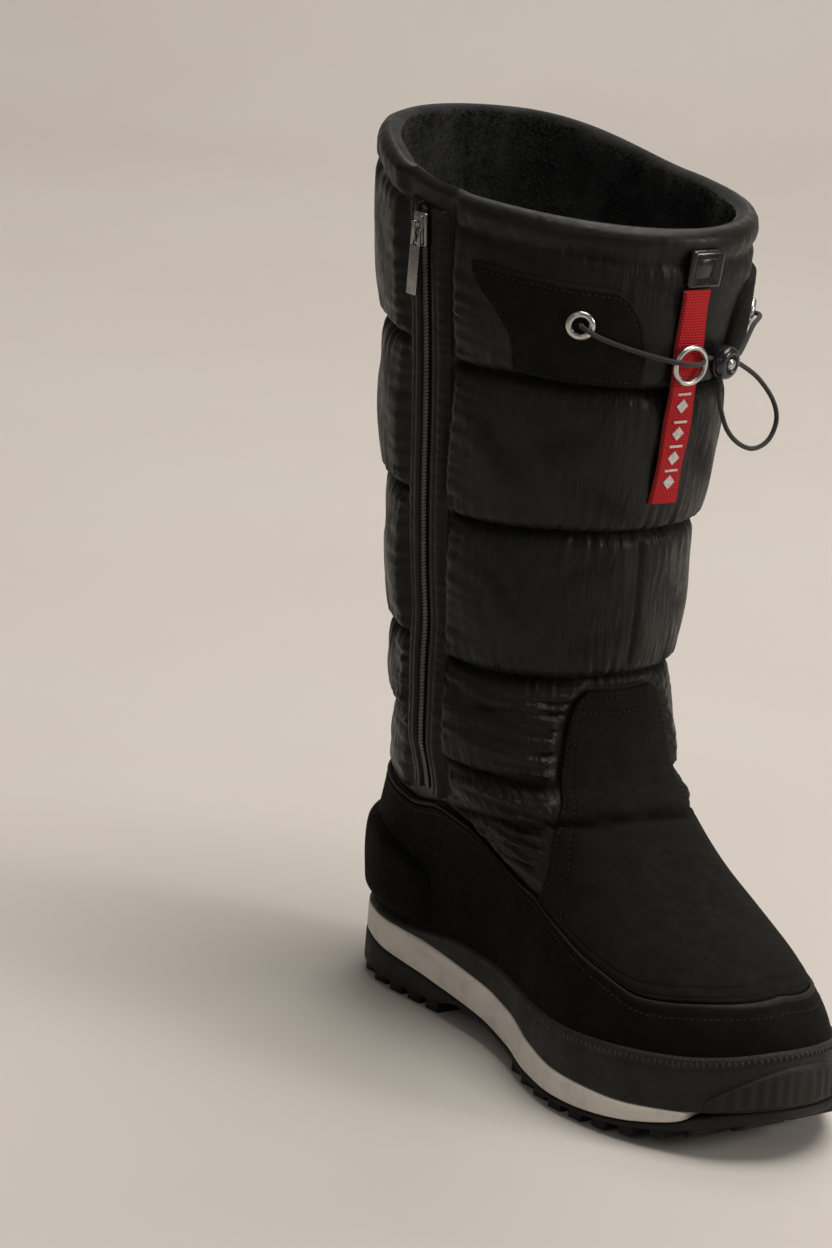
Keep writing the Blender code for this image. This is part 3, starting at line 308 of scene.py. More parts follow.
# Creases given one by one: from one angle and level to another, with half width and depth in millimetres.
# Depth is less than 0 for a ridge.
Crease = namedtuple("Crease", "a0 l0 a1 l1 wide deep")
CREASES = table(
    Crease, (-70, 1.95, -58, 1.83, 4.0, 0.9), (-50, 1.60, -30, 1.66, 5.0, 0.8),
    (-70, 1.66, -56, 1.56, 4.0, 0.8), (-36, 1.56, -12, 1.50, 4.5, 0.9), (8, 1.64, 30, 1.56, 5.0, 0.8),
    (-66, 1.40, -48, 1.30, 4.5, 0.9), (-40, 1.36, -16, 1.42, 4.5, 0.9), (-30, 1.24, -6, 1.30, 4.5, 0.9),
    (10, 1.38, 34, 1.28, 4.5, 0.9), (-82, 1.130, -44, 1.090, 2.6, 1.0), (-70, 1.075, -42, 1.060, 1.8, 0.9),
    (-76, 1.045, -50, 1.040, 2.2, -0.8), (-84, 0.955, -44, 0.930, 1.8, 1.1),
    (-82, 0.925, -42, 0.895, 2.4, -1.2), (-80, 0.890, -48, 0.868, 1.6, 1.0),
    (-70, 0.770, -58, 0.740, 1.8, 0.9), (-72, 1.100, -46, 1.128, 1.6, 0.9),
    (-66, 0.970, -44, 0.985, 1.4, 0.8), (-76, 0.855, -54, 0.826, 1.6, 0.9),
    (-120, 0.90, -92, 0.86, 3.5, 1.2), (44, 0.930, 96, 0.960, 2.4, 1.0), (52, 1.090, 110, 1.110, 3.0, 1.0),
    (-54, 0.846, -14, 0.917, 1.4, 2.7), (-26, 0.911, 14, 0.918, 1.4, 2.2), (0, 0.920, 46, 0.850, 1.4, 2.7),
    (-40, 0.935, -10, 0.985, 3.4, -1.1), (-14, 0.985, 32, 0.945, 3.4, -1.1),
    (-36, 0.800, 28, 0.820, 4.0, -0.6), (-72, 1.950, -40, 1.925, 2.6, 0.9),
    (-46, 1.966, -18, 1.944, 2.4, 0.9), (-26, 1.925, -8, 1.905, 2.6, 0.8), (14, 1.950, 44, 1.925, 2.6, 0.9),
    (96, 1.930, 150, 1.880, 3.5, 0.9), (80, 1.640, 120, 1.560, 4.5, 0.9),
    (140, 1.600, 176, 1.660, 4.5, 0.9), (90, 1.380, 130, 1.300, 4.5, 0.9),
    (-170, 1.560, -130, 1.640, 4.5, 0.9), (-165, 1.300, -125, 1.360, 4.5, 0.9),
    (110, 1.060, 160, 1.000, 3.2, 1.0), (-160, 1.080, -118, 1.010, 3.2, 1.0),
    (-30, 0.70, 16, 0.74, 7.0, 0.4), (-34, 0.52, -8, 0.58, 6.0, 0.3),
)


def millimetres(level):
    """Height of one whole level, in millimetres."""
    return np.where(np.asarray(level) < 1, FOOT_RUN * 1000, SHAFT_RUN * 1000)


def crease_depth(angle, level, ridges=True):
    total = np.zeros(np.broadcast(angle, level).shape)
    for c in [c for c in CREASES if ridges or c.deep > 0]:
        tall = float(millimetres((c.l0 + c.l1) / 2))
        ax, ay = c.a0 * ROUND_MM, c.l0 * tall
        bx, by = c.a1 * ROUND_MM - ax, c.l1 * tall - ay
        px, py = angle * ROUND_MM - ax, level * tall - ay
        t = np.clip((px * bx + py * by) / (bx * bx + by * by), 0.0, 1.0)
        share = bell(np.hypot(px - t * bx, py - t * by), c.wide)
        total += c.deep * 0.001 * share * (0.35 + 0.65 * np.sin(np.pi * np.clip(t, 0.02, 0.98)))
    return total


def seam_lines(angle):
    """The level of each seam at an angle. The lowest keeps clear of the mudguard."""
    lines = [read(s, wrap(angle)) for s in SEAMS]
    lines[0] = np.maximum(lines[0], guard_level(angle) + 0.04)
    return lines


def front_seam(angle, level, lines, wide, low, high):
    """1 on the short upright seam in front, between two of the level ones."""
    share = bell((angle + FRONT_SEAM_TURN) * ROUND_MM, wide)
    return share * step(low, high, level - lines[2]) * step(low, high, lines[3] - level)


def fold_shade(angle, level, seams=True):
    """Painted shade for the cloth's colour: 1 in the bottom of a seam or a crease and 0 on the open cloth."""
    angle, level = paired(angle, level)
    dark = np.clip(crease_depth(angle, level, False) / 0.0018, 0.0, 0.9)
    if seams:
        lines = seam_lines(angle)
        mask = off_zip(angle, level) * off_panels(angle, level)
        for line in lines[:-1]:
            d = (level - line) * millimetres(level)
            dark = np.maximum(dark, bell(d, np.where(d > 0, 2.4, 3.2)) * mask)
        dark = np.maximum(dark, 0.7 * front_seam(angle, level, lines, 1.0, 0.0, 0.02))
    return dark


def gather(angle, seed):
    """Puckers along a seam, from -1 to 1."""
    t = np.radians(angle)
    fine = np.sin(61 * t + 2.0 * np.sin(5 * t + seed) + seed)
    finer = np.sin(95 * t + 2.4 * np.sin(7 * t + 2 * seed) + 3 * seed)
    patch = 0.65 + 0.35 * np.sin(9 * t + 1.7 * seed)
    return (0.55 * fine + 0.45 * finer) * patch


def quilting(angle, level):
    """How far the cloth stands out from the base skin: pillows between the seams, with their puckers."""
    angle, level = paired(angle, level)
    turn, tall = np.radians(angle), millimetres(level)
    lines = seam_lines(angle)
    hardware = 1 - 0.75 * step(46.0, 30.0, np.abs(angle)) * step(1.70, 1.76, level)
    out, fall, pucker = np.zeros_like(level), np.zeros_like(level), np.zeros_like(level)
    last = len(lines)
    for k, (low, high) in enumerate(zip([guard_level(angle)] + lines, lines), 1):
        inside = (level >= low) & (level <= high)
        t = np.clip((level - low) / np.maximum(high - low, 1e-6), 0.0, 1.0)
        sag = np.clip(t, 1e-4, 1 - 1e-4) ** (0.62 if k < last else 0.80)
        rise = np.sin(np.pi * sag) ** (0.42 if k > 2 else 0.55)
        if k == last:
            rise = np.where(t > 0.75, np.maximum(rise, 0.45), rise)
        out = np.where(inside, PILLOWS[k - 1] * rise, out)
        slow = np.sin(turn * 7 + k * 2.1) * 0.0007 + np.sin(turn * 16 + k * 4.3 + 9 * t) * 0.0003
        fall = np.where(inside, slow * np.sin(np.pi * t), fall)
    for k, line in enumerate(lines[:-1]):
        d = (level - line) * tall
        near = np.exp(-np.abs(d) / 7.0) * step(0.0, 2.2, np.abs(d))
        out = out - SEAM_DEPTH * bell(d, np.where(d > 0, 1.7, 3.2)) * (1.0 if k > 1 else 0.4)
        pucker += gather(angle, 1.3 + 1.9 * k + np.where(d > 0, 0.9, 0.0)) * near * PUCKERS[k]
    top = (2.0 - level) * tall
    pucker += gather(angle, 9.1) * np.exp(-((top - 9.0) ** 2) / 40.0) * 0.0011
    out = out - RIM_HEM * bell(top - 9.5, 2.4) + RIM_HEM * bell(top - 3.0, 3.4)

    # Ruffles beside the vamp panel and the zip.
    high_mm = base_height(level, -0.05) * 1000
    from_vamp = (np.abs(angle) - read(VAMP_SIDE, level)) * 1.1
    ruffle = np.sin(high_mm * 1.02 + 1.8 * np.sin(high_mm * 0.21) + 1.5 * np.sin(angle * 0.09) + 0.05 * angle)
    ruffle += 0.4 * np.sin(high_mm * 1.9 + 1.1 * np.sin(high_mm * 0.37) - 0.04 * angle)
    edge = bell(np.clip(from_vamp, 0, None), 22.0) * step(1.185, 1.15, level) * step(0.0, 5.0, from_vamp)
    from_zip = np.clip(np.abs(wrap(angle - zip_angle(level))) - 12.0, 0, None)
    edge += 0.7 * np.exp(-from_zip / 7.0)
    pucker += ruffle * edge * np.where(angle > 0, 0.0003, 0.0009)
    centre = FRONT_SEAM_DEPTH * front_seam(angle, level, lines, 1.3, 0.01, 0.03)
    cloth = (out + (fall + pucker) * hardware - centre) * off_panels(angle, level)
    return (cloth - crease_depth(angle, level) * step(0.30, 0.45, level)) * off_zip(angle, level)


def off_base(angle, level, out):
    """Points at a distance out from the skin without quilting."""
    return base(angle, level) + normal(angle, level) * np.asarray(out)[..., None]


def skin(angle, level, out=0.0):
    angle, level = paired(angle, level)
    return off_base(angle, level, quilting(angle, level) + out)


def round_turn(angle, level, distance):
    """Degrees round the leg that a distance along the skin takes."""
    chord = np.linalg.norm(base(wrap(angle + 2.0), level) - base(wrap(angle - 2.0), level), axis=-1)
    return distance * 4.0 / chord


def stand(across, up, out, place):
    """A matrix from three directions and a place."""
    matrix = Matrix((across, up, out)).transposed().to_4x4()
    matrix.translation = Vector(place)
    return matrix


def upright(angle, level):
    """Directions on the skin: level along it, up along it and out of it."""
    n = Vector(normal(angle, level))
    across = UP.cross(n).normalized()
    return across, n.cross(across), n


def seat(angle, level, out=0.0):
    """A matrix on the skin, with its Z outwards."""
    return stand(*upright(angle, level), skin(angle, level, out))


def seated(points, matrix):
    """Points put in place by a matrix."""
    m = np.array(matrix)
    return points @ m[:3, :3].T + m[:3, 3]


def level_at(angle, height):
    """The level at which the skin is this high."""
    low, high = np.zeros_like(angle), np.full_like(angle, 2.0)
    for _ in range(24):
        middle = (low + high) / 2
        below = base(angle, middle)[..., 2] < height
        low, high = np.where(below, middle, low), np.where(below, high, middle)
    return (low + high) / 2


RAND_ANGLES = np.linspace(-180, 180, 361)
RAND_TOPS = level_at(RAND_ANGLES, sole_height("rand", base(RAND_ANGLES, 0.0)[..., 1]))


def rand_level(angle):
    return np.interp(wrap(angle), RAND_ANGLES, RAND_TOPS)


def sole_point(angle, out):
    """Points of the sole's outline, seen from above, out from the upper's lower edge."""
    n = normal(angle, 0.0)
    n[..., 2] = 0
    return base(angle, 0.0) + unit(n) * np.asarray(out)[..., None]


# Materials.
class Wire:
    """A socket of a material. Arithmetic on it adds maths nodes."""

    def __init__(self, shop, socket):
        self.shop, self.socket = shop, socket

    def maths(self, kind, other, swap=False):
        pair = {0: other, 1: self} if swap else {0: self, 1: other}
        return self.shop.node("ShaderNodeMath", {"operation": kind}, pair)

    def __add__(self, other):
        return self.maths("ADD", other)

    def __sub__(self, other):
        return self.maths("SUBTRACT", other)

    def __rsub__(self, other):
        return self.maths("SUBTRACT", other, True)

    def __mul__(self, other):
        return self.maths("MULTIPLY", other)

    def __pow__(self, other):
        return self.maths("POWER", other)

    __radd__ = __add__
    __rmul__ = __mul__


class Shop:
    """One material, made of procedural nodes."""

    def __init__(self, name, colour, roughness, metallic=0.0, **constants):
        self.material = bpy.data.materials.new(name)
        self.material.use_nodes = True
        self.tree = self.material.node_tree
        self.shader = self.tree.nodes["Principled BSDF"]
        self.set("Base Color", (*colour, 1.0))
        self.set("Roughness", roughness)
        self.set("Metallic", metallic)
        for key, value in constants.items():
            self.set(key.replace("_", " ").title().replace("Ior", "IOR"), value)

    def set(self, key, value):
        self.join(self.shader.inputs[key], value)

    def join(self, socket, value):
        if isinstance(value, Wire):
            self.tree.links.new(value.socket, socket)
        else:
            socket.default_value = value

    def node(self, kind, settings=None, inputs=None, output=0):
        made = self.tree.nodes.new(kind)
        for key, value in (settings or {}).items():
            setattr(made, key, value)
        for key, value in (inputs or {}).items():
            self.join(made.inputs[key], value)
        return Wire(self, made.outputs[output])

    def place(self, kind="Object"):
        return self.node("ShaderNodeTexCoord", output=kind)

    def split(self, wire):
        made = self.node("ShaderNodeSeparateXYZ", None, {0: wire})
        return [Wire(self, s) for s in made.socket.node.outputs]

    def stretch(self, wire, sizes):
        return self.node("ShaderNodeMapping", None, {"Vector": wire, "Scale": sizes})

    def noise(self, scale, detail=3.0, rough=0.5, where=None):
        inputs = {"Vector": where or self.place(), "Scale": scale, "Detail": detail, "Roughness": rough}
        return self.node("ShaderNodeTexNoise", None, inputs)

    def cells(self, scale):
        return self.node("ShaderNodeTexVoronoi", None, {"Vector": self.place(), "Scale": scale})

    def vary(self, scale, low, high, detail=3.0):
        """Lets the roughness range between two values."""
        self.set("Roughness", self.range(self.noise(scale, detail), 0.3, 0.7, low, high))

    def wave(self, wire, size):
        return self.node("ShaderNodeMath", {"operation": "SINE"}, {0: wire * (2 * math.pi / size)})

    def range(self, wire, low, high, to_low=0.0, to_high=1.0):
        inputs = {0: wire, 1: low, 2: high, 3: to_low, 4: to_high}
        return self.node("ShaderNodeMapRange", {"interpolation_type": "SMOOTHSTEP"}, inputs)

    def mix(self, share, first, second):
        values = [v if isinstance(v, Wire) else (*v, 1.0) for v in (first, second)]
        return self.node("ShaderNodeMix", {"data_type": "RGBA"}, {0: share, 6: values[0], 7: values[1]}, 2)

    def depth(self):
        """Share of painted shade: 1 in the bottom of seams and creases."""
        return self.node("ShaderNodeAttribute", {"attribute_name": "painted_fold_shade"}, output=2)

    def painted_fold_shade(self, colour, amount=0.75):
        """Paints shade into a colour: darkens it in the bottom of seams and creases."""
        # The painted shade's colour, near black.
        return self.mix(self.depth() * amount, colour, (0.0016, 0.0014, 0.0012))

    def bump(self, *layers):
        """Adds bumps, each a height, a strength and a distance in metres."""
        last = None
        for height, strength, distance in layers:
            inputs = {"Height": height, "Strength": strength, "Distance": distance}
            if last:
                inputs["Normal"] = last
            last = self.node("ShaderNodeBump", None, inputs)
        self.set("Normal", last)


def make_nylon():
    s = Shop("quilted nylon", (0.005, 0.0046, 0.003), 0.42, specular_ior_level=0.25)
    cloud = s.noise(60.0, 4.0)
    black = s.mix(s.range(cloud, 0.35, 0.7), (0.0046, 0.0042, 0.0026), (0.0070, 0.0064, 0.0042))
    # Painted shade: the black darkens in the bottom of seams and creases.
    s.set("Base Color", s.painted_fold_shade(black, 0.9))
    painted_fold_shade = s.depth()
    s.set("Roughness", s.range(s.noise(220.0, 3.0), 0.3, 0.7, 0.36, 0.50) + painted_fold_shade * 0.5)
    place = s.place("UV")
    u, v, _ = s.split(place)
    weave = s.wave(u, 0.0007) * s.wave(v, 0.0007)
    pucker = s.noise(330.0, 2.0, 0.5, s.stretch(place, (1.0, 0.2, 1.0))) * painted_fold_shade**0.07
    crumple = s.noise(95.0, 4.0, 0.6)
    grain = s.noise(520.0, 3.0)
    s.bump((crumple, 0.35, 0.0012), (pucker, 0.8, 0.0016), (grain, 0.20, 0.0003), (weave, 0.10, 0.0001))
    return s.material


def make_cloth(name, first, second, roughness, grain=0.0008, strength=0.3, sheen=0.0, specular=0.3):
    s = Shop(name, first, roughness, specular_ior_level=specular, sheen_weight=sheen)
    # Painted shade: the colour darkens in the bottom of seams and creases.
    s.set("Base Color", s.painted_fold_shade(s.mix(s.range(s.noise(90.0, 4.0), 0.35, 0.68), first, second)))
    s.vary(300.0, roughness - 0.06, min(1.0, roughness + 0.06))
    s.bump((s.noise(1.0 / grain, 2.0), strength, 0.0004), (s.noise(150.0, 3.0), 0.2, 0.0006))
    return s.material


def make_rubber(name, tone, roughness, size=0.0011, strength=0.5):
    s = Shop(name, tone, roughness, specular_ior_level=0.35)
    pale = tuple(1.9 * c for c in tone)
    dust = s.range(s.noise(45.0, 5.0, 0.6), 0.45, 0.75)
    s.set("Base Color", s.mix(dust * 0.6, tone, pale))
    s.vary(90.0, roughness - 0.08, roughness + 0.12, 4.0)
    s.bump((1.0 - s.cells(1.0 / size), strength, 0.0004), (s.noise(300.0), 0.15, 0.0003))
    return s.material


def make_foam():
    s = Shop("pale foam", (0.52, 0.48, 0.43), 0.6, specular_ior_level=0.3)
    grime = s.range(s.noise(70.0, 6.0, 0.65), 0.46, 0.72)
    scuff = s.range(s.noise(24.0, 3.0, 0.5, s.stretch(s.place(), (1.0, 1.0, 5.0))), 0.52, 0.70)
    s.set("Base Color", s.mix(grime * 0.35 + scuff * 0.25, (0.74, 0.685, 0.61), (0.34, 0.30, 0.25)))
    s.set("Roughness", s.range(grime, 0.0, 1.0, 0.52, 0.72))
    s.bump((s.noise(900.0, 2.0), 0.25, 0.0003), (s.noise(120.0, 3.0), 0.15, 0.0006))
    return s.material


def make_metal(name, tone, roughness):
    s = Shop(name, tone, roughness, 1.0)
    worn = s.range(s.noise(160.0, 3.0, 0.5), 0.40, 0.68)
    s.set("Base Color", s.mix(worn, tone, tuple(0.78 * c for c in tone)))
    s.vary(300.0, roughness - 0.05, roughness + 0.08)
    s.bump((s.noise(400.0, 2.0), 0.05, 0.0002))
    return s.material


def make_plastic():
    s = Shop("black plastic", (0.008, 0.008, 0.009), 0.22, specular_ior_level=0.5, coat_weight=0.25)
    s.vary(500.0, 0.16, 0.32)
    s.bump((s.noise(700.0, 2.0), 0.06, 0.0002))
    return s.material


def make_webbing():
    """Red woven ribbon. Its UV runs across and along it in metres."""
    s = Shop("red webbing", (0.46, 0.012, 0.018), 0.55, specular_ior_level=0.2)
    u, v, _ = s.split(s.place("UV"))
    rib = s.wave(v, 0.0011)
    twill = s.wave(u + v * 0.5, 0.0014)
    red = s.mix(s.range(rib + twill * 0.6, -1.4, 1.4), (0.32, 0.004, 0.007), (0.56, 0.008, 0.012))
    edge = s.range(s.node("ShaderNodeMath", {"operation": "ABSOLUTE"}, {0: u}), 0.0046, 0.0056)
    s.set("Base Color", s.mix(edge * 0.75, red, (0.13, 0.006, 0.008)))
    s.bump((rib, 0.45, 0.00025), (twill, 0.3, 0.0002))
    return s.material


def make_cord():
    """Braided cord, its braid read from the cord's own coordinates."""
    s = Shop("braided cord", (0.012, 0.012, 0.012), 0.6, sheen_weight=0.2, specular_ior_level=0.35)
    x, y, _ = s.split(s.place())
    braid = s.wave(x + y, 0.0011) * s.wave(x - y, 0.0011)
    s.set("Base Color", s.mix(s.range(braid, -0.8, 0.8), (0.007, 0.007, 0.007), (0.026, 0.025, 0.024)))
    s.bump((braid, 0.5, 0.0002))
    return s.material


def make_print():
    s = Shop("white print", (0.62, 0.58, 0.54), 0.6)
    worn = s.range(s.noise(900.0), 0.4, 0.7)
    s.set("Base Color", s.mix(worn, (0.66, 0.62, 0.58), (0.45, 0.36, 0.34)))
    return s.material


NYLON = make_nylon()
SOFTSHELL = make_cloth(
    "softshell", (0.0066, 0.0061, 0.0042), (0.0092, 0.0085, 0.0060), 0.90, 0.0009, 0.35, 0.0, 0.12
)
SUEDE = make_cloth(
    "coated suede", (0.0028, 0.0026, 0.0016), (0.0044, 0.0041, 0.0026), 0.84, 0.0007, 0.45, 0.0, 0.10
)
PATCH = make_cloth(
    "patch cloth", (0.0044, 0.0041, 0.0028), (0.0062, 0.0058, 0.0040), 0.80, 0.0007, 0.35, 0.0, 0.14
)
LINING = make_cloth("pile lining", (0.010, 0.010, 0.010), (0.022, 0.022, 0.022), 0.96, 0.0016, 0.9, 0.15, 0.1)
FELT = make_cloth("insole felt", (0.022, 0.022, 0.024), (0.040, 0.040, 0.042), 0.95, 0.0010, 0.6, 0.3, 0.15)
TAPE = make_cloth(
    "zip tape", (0.0040, 0.0037, 0.0030), (0.0064, 0.0060, 0.0050), 0.82, 0.0006, 0.5, 0.0, 0.15
)
PIPING = make_cloth("piping", (0.0060, 0.0056, 0.0044), (0.0095, 0.0088, 0.0070), 0.62, 0.0009, 0.2, 0.0, 0.2)
THREAD = make_cloth(
    "black thread", (0.010, 0.009, 0.008), (0.018, 0.016, 0.014), 0.55, 0.0005, 0.3, 0.0, 0.35
)
RUBBER = make_rubber("rand rubber", (0.0096, 0.0080, 0.0058), 0.62)
DASH = make_rubber("dash rubber", (0.030, 0.026, 0.022), 0.55)
TREAD = make_rubber("tread rubber", (0.0080, 0.0072, 0.0060), 0.66, 0.0016, 0.3)
FOAM = make_foam()
NICKEL = make_metal("nickel", (0.62, 0.61, 0.58), 0.24)
DARK_METAL = make_metal("dark nickel", (0.32, 0.31, 0.30), 0.28)
TEETH = make_metal("zip teeth", (0.085, 0.083, 0.080), 0.40)
PLASTIC = make_plastic()
WEBBING = make_webbing()
CORD = make_cord()
WHITE = make_print()


# Making pieces.
def edit(*steps):
    """Runs edit-mode steps on every part of the active mesh."""
    bpy.ops.object.mode_set(mode="EDIT")
    bpy.ops.mesh.select_all(action="SELECT")
    for run in steps:
        run()
    bpy.ops.object.mode_set(mode="OBJECT")


def start(add, name):
    """Adds a primitive and gives it its name."""
    if bpy.context.object and bpy.context.object.mode != "OBJECT":
        bpy.ops.object.mode_set(mode="OBJECT")
    bpy.ops.object.select_all(action="DESELECT")
    add()
    obj = bpy.context.active_object
    obj.name = obj.data.name = name
    return obj


def apply_all(obj):
    for modifier in list(obj.modifiers):
        bpy.ops.object.modifier_apply(modifier=modifier.name)


def coordinates(obj):
    data = np.empty(len(obj.data.vertices) * 3)
    obj.data.vertices.foreach_get("co", data)
    return data.reshape(-1, 3)


def move_points(obj, points):
    obj.data.vertices.foreach_set("co", np.ascontiguousarray(points, float).ravel())
    obj.data.update()


def outwards():
    bpy.ops.mesh.normals_make_consistent(inside=False)


def weld():
    bpy.ops.mesh.remove_doubles(threshold=0.000004)


def settle(obj, material, nodes=(), body="boot", smooth=True):
    """Gives a finished piece its material, place and names."""
    obj.data.materials.clear()
    obj.data.materials.append(material)
    bpy.ops.object.select_all(action="DESELECT")
    obj.select_set(True)
    bpy.context.view_layer.objects.active = obj
    if smooth:
        bpy.ops.object.shade_smooth_by_angle(angle=math.radians(50))
    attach(obj, body)
    if nodes:
        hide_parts(*nodes)


def add_cube():
    bpy.ops.mesh.primitive_cube_add(size=1.0)


def add_bead():
    bpy.ops.mesh.primitive_ico_sphere_add(subdivisions=1, radius=1.0)


def add_grid(columns, rows):
    bpy.ops.mesh.primitive_grid_add(x_subdivisions=columns, y_subdivisions=rows, size=1.0, calc_uvs=True)


def grid_piece(name, columns, rows, place, wall=0.0, dense=0.0):
    """A piece from a flat grid, each point of it put in place by its shares across and up.

    With a wall it is thickened inwards. dense crowds its lines towards its edges.
    """
    obj = start(lambda: add_grid(columns, rows), name)
    mesh = obj.data
    shares = coordinates(obj)[:, :2] + 0.5
    if dense:
        shares = shares - dense * np.sin(2 * np.pi * shares) / (2 * np.pi)
    points, map_u, map_v, *dark = place(*np.clip(shares, 0, 1).T)
    move_points(obj, points)
    # A fourth value from place is painted shade in seams and creases, kept as a point attribute.
    if dark:
        painted_fold_shade = mesh.attributes.new("painted_fold_shade", "FLOAT", "POINT")
        painted_fold_shade.data.foreach_set("value", dark[0].astype(np.float32))
    loops = np.empty(len(mesh.loops), int)
    mesh.loops.foreach_get("vertex_index", loops)
    uv = np.stack([map_u[loops], map_v[loops]], -1)
    mesh.uv_layers[0].data.foreach_set("uv", uv.ravel().astype(np.float32))
    if wall:
        middle = mesh.polygons[len(mesh.polygons) // 2 + columns // 2]
        if middle.normal.dot(Vector((middle.center.x, middle.center.y + 0.02, 0.0))) < 0:
            edit(bpy.ops.mesh.flip_normals)
        edit(weld)
        thick = obj.modifiers.new("Wall", "SOLIDIFY")
        thick.thickness = wall
        thick.offset = -1.0
        apply_all(obj)
    edit(weld, outwards)
    return obj


def bevel(obj, width, segments):
    edge = obj.modifiers.new("Edge", "BEVEL")
    edge.width = width
    edge.segments = segments
    apply_all(obj)


def copies(add, name, matrices, shape=None):
    """Many copies of one primitive, each put in place by its matrix."""
    obj = start(add, name)
    if shape:
        shape(obj)
    template = coordinates(obj)
    count = len(matrices)
    row = obj.modifiers.new("Row", "ARRAY")
    row.count = count
    row.relative_offset_displace = (0, 0, 0)
    apply_all(obj)
    m = np.array([np.array(x) for x in matrices])
    points = np.einsum("kij,nj->kni", m[:, :3, :3], template) + m[:, None, :3, 3]
    move_points(obj, points.reshape(-1, 3))
    edit(outwards)
    return obj


def frames_along(points, normals, sizes):
    """Matrices at points along a line: X along it, Z along the normal."""
    along = unit(np.gradient(points, axis=0))
    side = unit(np.cross(normals, along))
    out = []
    for place, *axes in zip(points, along, side, np.cross(along, side)):
        out.append(stand(*(Vector(axis) * size for axis, size in zip(axes, sizes)), place))
    return out


def spaced(path_angle, path_level, out, pitch):
    """Points and normals at equal steps along a line on the skin."""
    t = np.linspace(0, 1, 900)
    s = np.linspace(0, 1, len(path_angle))
    angle, level = np.interp(t, s, path_angle), np.interp(t, s, path_level)
    steps = np.linalg.norm(np.diff(skin(wrap(angle), level, out), axis=0), axis=-1)
    length = np.concatenate([[0], np.cumsum(steps)])
    wanted = np.arange(pitch / 2, length[-1], pitch)
    angle, level = wrap(np.interp(wanted, length, angle)), np.interp(wanted, length, level)
    return skin(angle, level, out), normal(angle, level)


STITCHES = []


def stitch_line(path_angle, path_level, out, pitch=STITCH_PITCH, long=STITCH_LONG):
    points, normals = spaced(path_angle, path_level, out, pitch)
    if len(points) > 2:
        STITCHES.extend(frames_along(points, normals, (long / 2, STITCH_THICK / 2, STITCH_THICK / 2)))


def edge_rise(u, v, wide, tall, soft):
    """Height share of a panel that rounds off towards its edges."""
    return rounded(np.minimum(u, 1 - u) * wide / soft) * rounded(np.minimum(v, 1 - v) * tall / soft)


def hem_distance(u, v, wide, tall):
    """Metres to a panel's nearest edge."""
    return np.minimum(np.minimum(u, 1 - u) * wide, np.minimum(v, 1 - v) * tall)


def hem_lines(wide, tall, inset, count):
    """Shares along a panel's left, right, lower and upper hem."""
    t = np.linspace(0, 1, count)
    du, dv = inset / wide, inset / tall
    across, up = du + (1 - 2 * du) * t, dv + (1 - 2 * dv) * t
    return [(du + 0 * t, up), (1 - du + 0 * t, up), (across, dv + 0 * t), (across, 1 - dv + 0 * t)]


def rim_swell(level):
    """How much thicker the wall gets towards the collar's rim."""
    return 0.0015 * step(1.90, 1.99, level)


def make_shell():
    """The quilted shell with its lining, one closed wall open at the collar and underneath."""
    t = np.linspace(1.045, 1.997, 2000)
    near_seams = ((1.12, 0.09), (1.458, 0.036), (1.727, 0.036))
    dense = 1.0 + 1.2 * sum(np.exp(-(((t - at) / wide) ** 4)) for at, wide in near_seams)
    dense = np.cumsum(dense) - dense[0]
    leg = np.interp(np.linspace(0, dense[-1], 160), dense, t)
    outer = np.concatenate([np.linspace(0, 0.62, 20), np.linspace(0.64, 1.04, 54), leg, [2.0]])
    inner = [2.0, 1.96, 1.90, 1.8, 1.6, 1.45, 1.3, 1.15, 1.02, 0.93, 0.82, 0.70, 0.58, 0.46, 0.37, 0.28, 0.18]
    inner += [0.08, 0.0]
    rows = len(outer) + len(inner) + 3

    def place(u, v):
        angle = all_round(u)
        k = np.clip(np.rint(v * rows).astype(int), 0, rows)
        level = np.concatenate([outer, [2.0, 2.0, 2.0], inner, [0.0]])[k]
        wall = FOOT_WALL + (SHAFT_WALL - FOOT_WALL) * step(0.8, 1.2, level) + rim_swell(level)
        inside = k >= len(outer) + 3
        pile = 0.0004 * np.sin(angle * 0.21 + 3 * np.sin(level * 9)) * step(1.7, 1.95, level)
        out = np.where(inside, -wall + pile, quilting(angle, level))
        edge = quilting(angle, 2.0)
        for n, share in enumerate((0.15, 0.5, 0.85)):
            out = np.where(k == len(outer) + n, edge * (1 - share) - wall * share, out)
        points = off_base(angle, level, out)
        for n, lift in enumerate((0.0020, 0.0030, 0.0018)):
            points[..., 2] += np.where(k == len(outer) + n, lift, 0.0)
        points = np.where((k == rows)[..., None], skin(angle, 0.0), points)
        # The outer cloth carries painted shade in its seams and creases.
        return points, angle * DEGREE, points[..., 2], fold_shade(angle, level) * (k < len(outer))

    obj = grid_piece("quilted_shell", 360, rows, place)
    settle(obj, NYLON, ("upper",))
    obj.data.materials.append(LINING)
    centres, normals = (np.empty((len(obj.data.polygons), 3)) for _ in range(2))
    obj.data.polygons.foreach_get("center", centres.ravel())
    obj.data.polygons.foreach_get("normal", normals.ravel())
    middle = np.interp(centres[:, 2], [0.0, 0.06, 0.12, 0.35], [-0.085, -0.07, -0.028, -0.018])
    inward = (centres[:, 0] * normals[:, 0] + (centres[:, 1] - middle) * normals[:, 1]) < -0.0002
    obj.data.polygons.foreach_set("material_index", inward.astype(np.int32))


